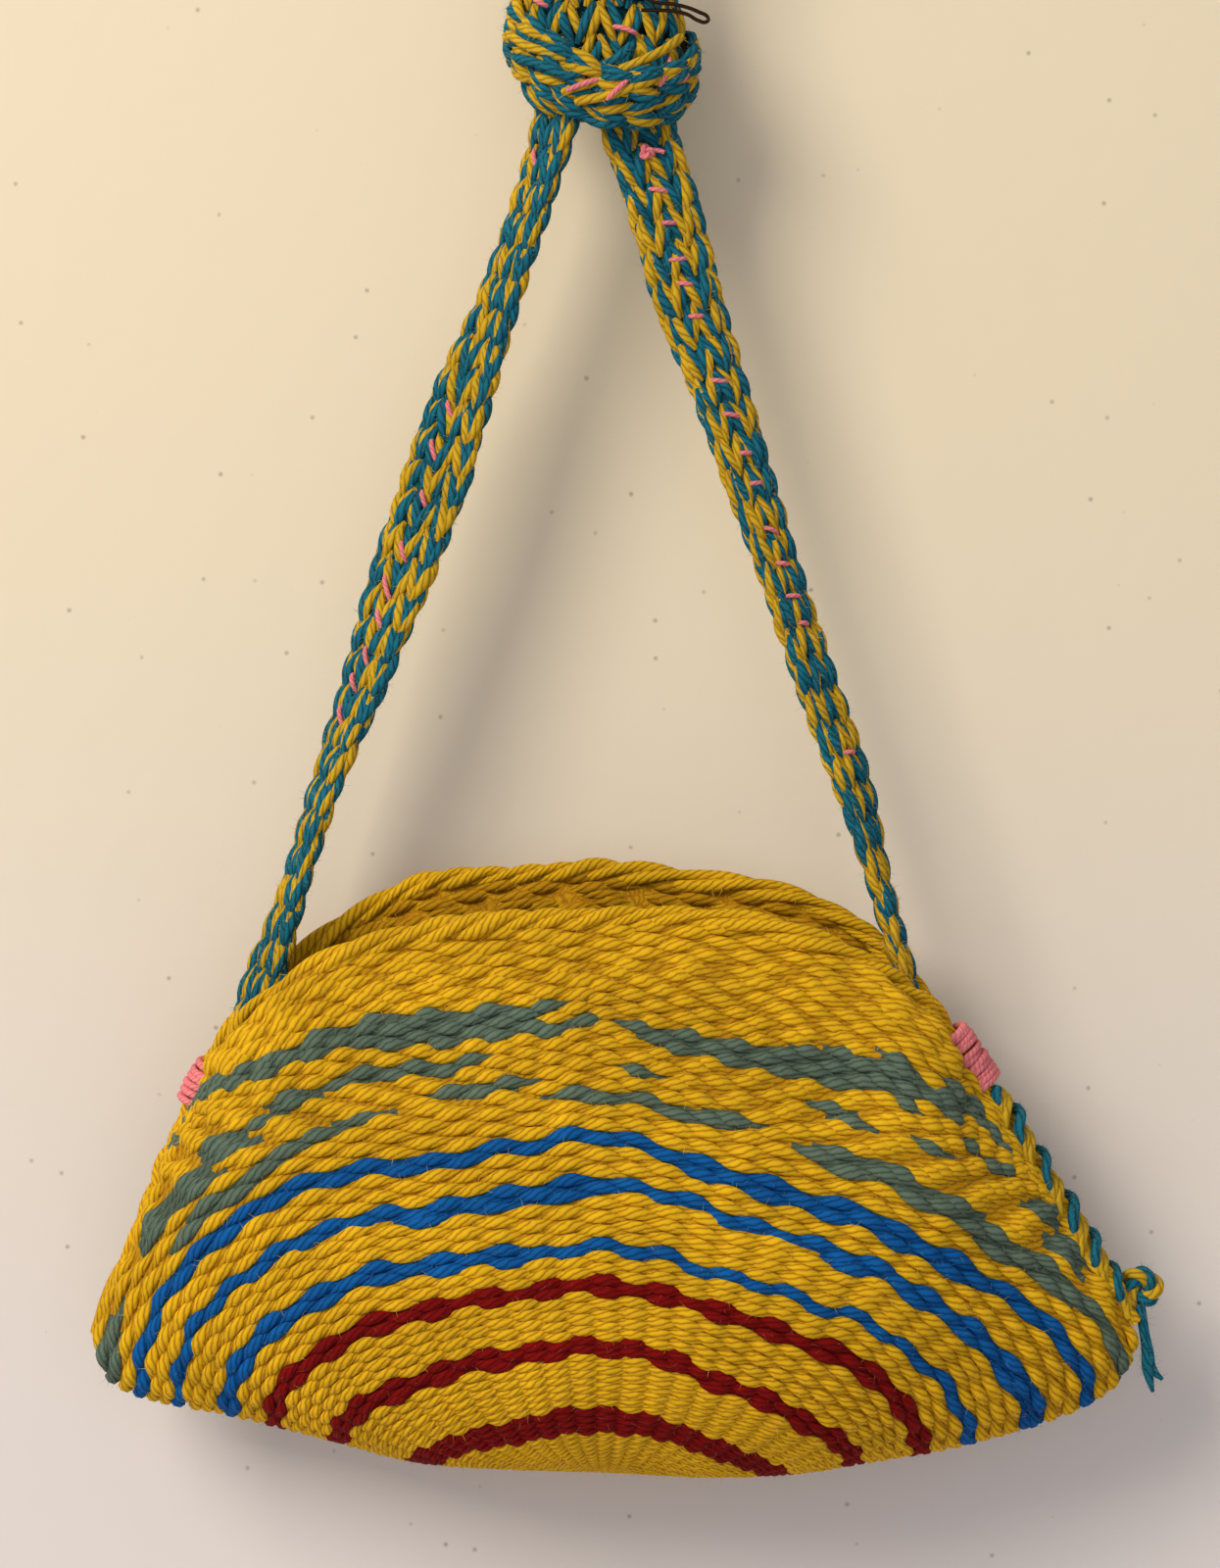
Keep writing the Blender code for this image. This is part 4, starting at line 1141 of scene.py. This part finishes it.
def sew_tacks(pink):
    """Threads wrapped round both rims at each end of the mouth."""
    pick = np.random.default_rng(19)
    for start, end, wraps, height in TACKS:
        x = np.linspace(start - 3 * MM, end + 3 * MM, 60)
        line, up, _ = edge_line(x, FRONT, TACK_DROP)
        line[:, 1] = BAG_ORIGIN[1]
        run = run_length(line)
        for wrap in range(wraps):
            here = np.interp(start + (end - start) * (wrap + 0.5) / wraps, x, run)
            turn = np.linspace(-0.4, 2 * math.pi - 0.2, 22)
            slant = pick.normal(1.2, 1.6) * MM
            lean = here + slant * (turn / math.pi - 1) * 0.5
            spot, axis = follow(lean, run, line), follow(lean, run, up)
            rear = np.broadcast_to((0.0, 1.0, 0.0), axis.shape)
            swell = 1 + pick.uniform(-0.10, 0.10)
            reach = (height * swell, TACK_DEPTH * (1 + pick.uniform(-0.03, 0.04)))
            fat = TACK_THREAD * (1 + 0.12 * np.sin(2 * turn + wrap)) * pick.uniform(0.9, 1.15)
            coil(pink, spot, (axis, rear), reach, turn, fat, start=wrap * MM)


def whip_seam(teal, yellow):
    """The yarn that whips the right side shut, with its knot and tail."""
    x = np.linspace(WHIP[0], WHIP[1], 200)
    line, up, back = edge_line(x, FRONT, WHIP_DROP)
    line[:, 1] = BAG_ORIGIN[1]
    run = run_length(line)
    narrowing = np.interp(x, (WHIP[0], WHIP[1] - 10 * MM, WHIP[1]), (1.0, 0.9, 0.45))[:, None]
    swell = 1 + 0.12 * np.sin(run / (5 * MM))
    strands = (
        (yellow, 0.0, 1.5, 0.0, 1.0),
        (teal, 0.56, 1.4, -1.5, 0.92),
        (yellow, 0.16, 1.3, 0.0, 0.96),
    )
    for yarns, lead, fat, rise, share in strands:
        turn = 2 * math.pi * (run / WHIP_LAY + lead) + 0.7 * np.sin(run / (8 * MM))
        turn = turn - WHIP_SLANT * np.cos(turn)
        wide = (WHIP_REACH[0] * narrowing * share, WHIP_REACH[1] * narrowing)
        coil(yarns, line + up * rise * MM, (up, back), wide, turn, fat * MM * swell)
    centre = BAG_ORIGIN + SEAM_KNOT
    for yarns, tip, size in ((yellow, 0.3, 1.62), (teal, 1.25, 1.48)):
        cosine, sine = math.cos(tip), math.sin(tip)
        axes = np.array(((cosine, 0, -sine), (sine, 0, cosine), (0, 1, 0)))
        points = centre + small_knot(size, 1.3, 73) @ axes
        yarns.add(points, unit(points - centre + (0, -1e-5, 0)), 1.42 * MM)
    for number, end in enumerate(TAIL_ENDS):
        line = smooth_line(TAIL + end, 26) + BAG_ORIGIN
        line = line + np.array((0.5, 0.3, 0.0)) * MM * (1 if number else -1)
        share = np.linspace(0.0, 1.0, 26)
        swell = 0.95 + 0.75 * np.exp(-((share - 0.72) / 0.18) ** 2) - 0.5 * share**6
        teal.add(line, (0.0, -1.0, 0.0), 1.0 * MM * swell)


class SewBag(bpy.types.Operator):
    """Sew the pink stitches, the bars at the mouth's corners and the whipped seam."""

    bl_idname = "woven_bag.sew"
    bl_label = "Sew the seams"

    def execute(self, context):
        dyes = context.scene.bag_strap
        teal, yellow, wraps, pink = (Yarns() for _ in range(4))
        thread = wool("pink_cotton_thread", dyes.pink, "C4606C", lay=5.0, plies=3, relief=0.2)
        sew_tacks(wraps)
        sew_strap(pink)
        whip_seam(teal, yellow)
        blue_wool = bpy.data.materials["plied_wool_teal"]
        yellow_wool = bpy.data.materials["plied_wool_strap_yellow"]
        bars = yarn_piece("tack_wraps", wraps, thread, 7)
        stitches = yarn_piece("strap_stitches", pink, thread, 7)
        whip_teal = yarn_piece("whip_teal", teal, blue_wool)
        whip_yellow = yarn_piece("whip_yellow", yellow, yellow_wool)
        for piece in (bars, stitches, whip_teal, whip_yellow):
            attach(piece, "root")
        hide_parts("tack_left", "tack_right")
        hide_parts("seam_yarn")
        return {"FINISHED"}


def paler(hex_colour):
    """The colour a third of the way to a warm white: a painted highlight, as light gives single
    fibres.
    """
    parts = [int(hex_colour[i : i + 2], 16) for i in (0, 2, 4)]
    mixed = [int(part + (white - part) * 0.33) for part, white in zip(parts, (245, 232, 190))]
    return "".join(f"{part:02X}" for part in mixed)


class RaiseFibres(bpy.types.Operator):
    """Stand loose fibre ends out of the wool."""

    bl_idname = "woven_bag.fibres"
    bl_label = "Raise loose fibres"

    def execute(self, context):
        bag, strap = context.scene.woven_bag, context.scene.bag_strap
        tree = fibre_tree()
        wool_pieces = (
            ("weft_yellow_front", bag.yellow, 110000.0), ("weft_yellow_back", bag.yellow, 60000.0),
            ("weft_grey_front", bag.grey, 90000.0), ("weft_blue_front", bag.blue, 70000.0),
            ("weft_red_front", bag.red, 70000.0), ("strap_teal", strap.teal, 150000.0),
            ("strap_yellow", strap.yellow, 150000.0), ("whip_teal", strap.teal, 600000.0),
        )
        finishes = {}
        for number, (name, dye, density) in enumerate(wool_pieces):
            if dye not in finishes:
                # Painted highlight: each fibre takes a paler colour than its yarn
                finishes[dye] = plain(f"wool_fibre_{name}", paler(dye), 0.7)
            piece = add_object(f"fibres_{name}", bpy.data.objects[name].data.copy())
            values = {"Density": density, "Seed": number + 3, "Material": finishes[dye]}
            apply_tree(piece, tree, values)
            piece.data.materials.clear()
            piece.data.materials.append(finishes[dye])
            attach(piece, "root")
        return {"FINISHED"}


class SetPin(bpy.types.Operator):
    """Bend the bronzed wire pin through the knot."""

    bl_idname = "woven_bag.pin"
    bl_label = "Set the pin"

    def execute(self, context):
        wire = Yarns()
        line = smooth_line(PIN_LINE, 90)
        wire.add(line, (0.0, -1.0, 0.0), 0.52 * MM)
        bronze = plain("bronzed_steel_wire", "3B2A22", 0.28, metallic=1.0)
        piece = yarn_piece("pin_wire", wire, bronze, 12)
        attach(piece, "root")
        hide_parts("pin")
        return {"FINISHED"}


def build_backing(finish):
    """The warp cloth inside the rows: one sheet from rim to rim round the fold."""
    first, last = BODY_SECTIONS[0].x + BACKING_MARGIN, BODY_SECTIONS[-1].x - BACKING_MARGIN
    shares = np.linspace(0.0, 1.0, 26) ** 1.6
    columns = []
    for x in np.linspace(first, last, 90) * MM:
        line = []
        for side, order in ((FRONT, shares[::-1]), (BACK, shares[1:])):
            h = order * (body_height(x, side) - BACKING_DROP)
            line.append(wall_frame(np.full(len(h), x), h, side, BACKING_INSET)[0])
        columns.append(np.concatenate(line))
    grid = np.array(columns)
    wide, tall = grid.shape[:2]
    starts = [i * tall + j for i, j in product(range(wide - 1), range(tall - 1))]
    faces = [(a, a + tall, a + tall + 1, a + 1) for a in starts]
    data = bpy.data.meshes.new("backing")
    data.from_pydata(grid.reshape(-1, 3).tolist(), [], faces)
    data.shade_smooth()
    data.materials.append(finish)
    made = add_object("backing", data)
    shell = made.modifiers.new("thickness", "SOLIDIFY")
    shell.thickness = BACKING_THICKNESS
    shell.offset = 0.0
    return made


class LightStage(bpy.types.Operator):
    """Set the camera where the photograph was taken, the wall, and the soft light."""

    bl_idname = "woven_bag.stage"
    bl_label = "Stage, light and camera"

    def execute(self, context):
        scene = context.scene
        camera_data = bpy.data.cameras.new("camera")
        camera_data.sensor_fit = "VERTICAL"
        camera_data.sensor_height = CAMERA_SENSOR
        camera_data.lens = CAMERA_LENS
        camera = add_object("camera", camera_data)
        camera.location = CAMERA_PLACE
        camera.rotation_euler = (math.pi / 2, 0.0, 0.0)
        scene.camera = camera
        scene.view_settings.view_transform = "Standard"
        paint = plaster("wall_paint_matt", scene.bag_stage.wall, scene.bag_stage.wall_low)
        data = bpy.data.meshes.new("wall")
        wide, high, low, near = 3.0, 2.0, -1.2, -3.0
        corners = [
            (-wide, WALL_PLANE, high), (wide, WALL_PLANE, high),
            (wide, WALL_PLANE, low), (-wide, WALL_PLANE, low),
            (wide, near, low), (-wide, near, low),
        ]
        data.from_pydata(corners, [], [(3, 2, 1, 0), (5, 4, 2, 3)])
        data.materials.append(paint)
        add_object("wall", data)
        world = bpy.data.worlds.new("room")
        scene.world = world
        world.use_nodes = True
        sky = world.node_tree.nodes["Background"]
        sky.inputs["Color"].default_value = linear("F4EFE8")
        sky.inputs["Strength"].default_value = 0.42
        lamps = (
            ("window", (-1.05, -1.3, 0.7), 0.95, scene.bag_stage.key_power * 3.4, "FFF3DE"),
            ("room_fill", (0.1, -1.8, -0.2), 1.6, scene.bag_stage.key_power * 0.4, "F1EEFF"),
        )
        for name, place, size, power, tint in lamps:
            lamp = bpy.data.lights.new(name, "AREA")
            lamp.size = size
            lamp.energy = power
            lamp.color = linear(tint)[:3]
            made = add_object(name, lamp)
            made.location = place
            aim = LIGHT_AIM - Vector(place)
            made.rotation_euler = aim.to_track_quat("-Z", "Y").to_euler()
        return {"FINISHED"}


class BagPanel(bpy.types.Panel):
    """Lists what the dressing can make."""

    bl_idname = "VIEW3D_PT_woven_bag"
    bl_label = "Woven bag"
    bl_space_type = "VIEW_3D"
    bl_region_type = "UI"
    bl_category = "Woven Bag"

    def draw(self, context):
        for operator in OPERATORS:
            self.layout.operator(operator.bl_idname)


OPERATORS = (LightStage, WeaveBag, KnitStrap, SewBag, SetPin, RaiseFibres)
GROUPS = (BagSettings, StrapSettings, StageSettings)


def register():
    for kind in (*GROUPS, *OPERATORS, BagPanel):
        bpy.utils.register_class(kind)
    bpy.types.Scene.woven_bag = PointerProperty(type=BagSettings)
    bpy.types.Scene.bag_strap = PointerProperty(type=StrapSettings)
    bpy.types.Scene.bag_stage = PointerProperty(type=StageSettings)


def unregister():
    del bpy.types.Scene.bag_stage
    del bpy.types.Scene.bag_strap
    del bpy.types.Scene.woven_bag
    for kind in (BagPanel, *reversed(OPERATORS), *reversed(GROUPS)):
        bpy.utils.unregister_class(kind)


def main():
    register()
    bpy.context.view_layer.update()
    bpy.ops.woven_bag.stage()
    bpy.ops.woven_bag.weave()
    bpy.ops.woven_bag.strap()
    bpy.ops.woven_bag.sew()
    bpy.ops.woven_bag.pin()
    bpy.ops.woven_bag.fibres()


if __name__ == "__main__":
    main()
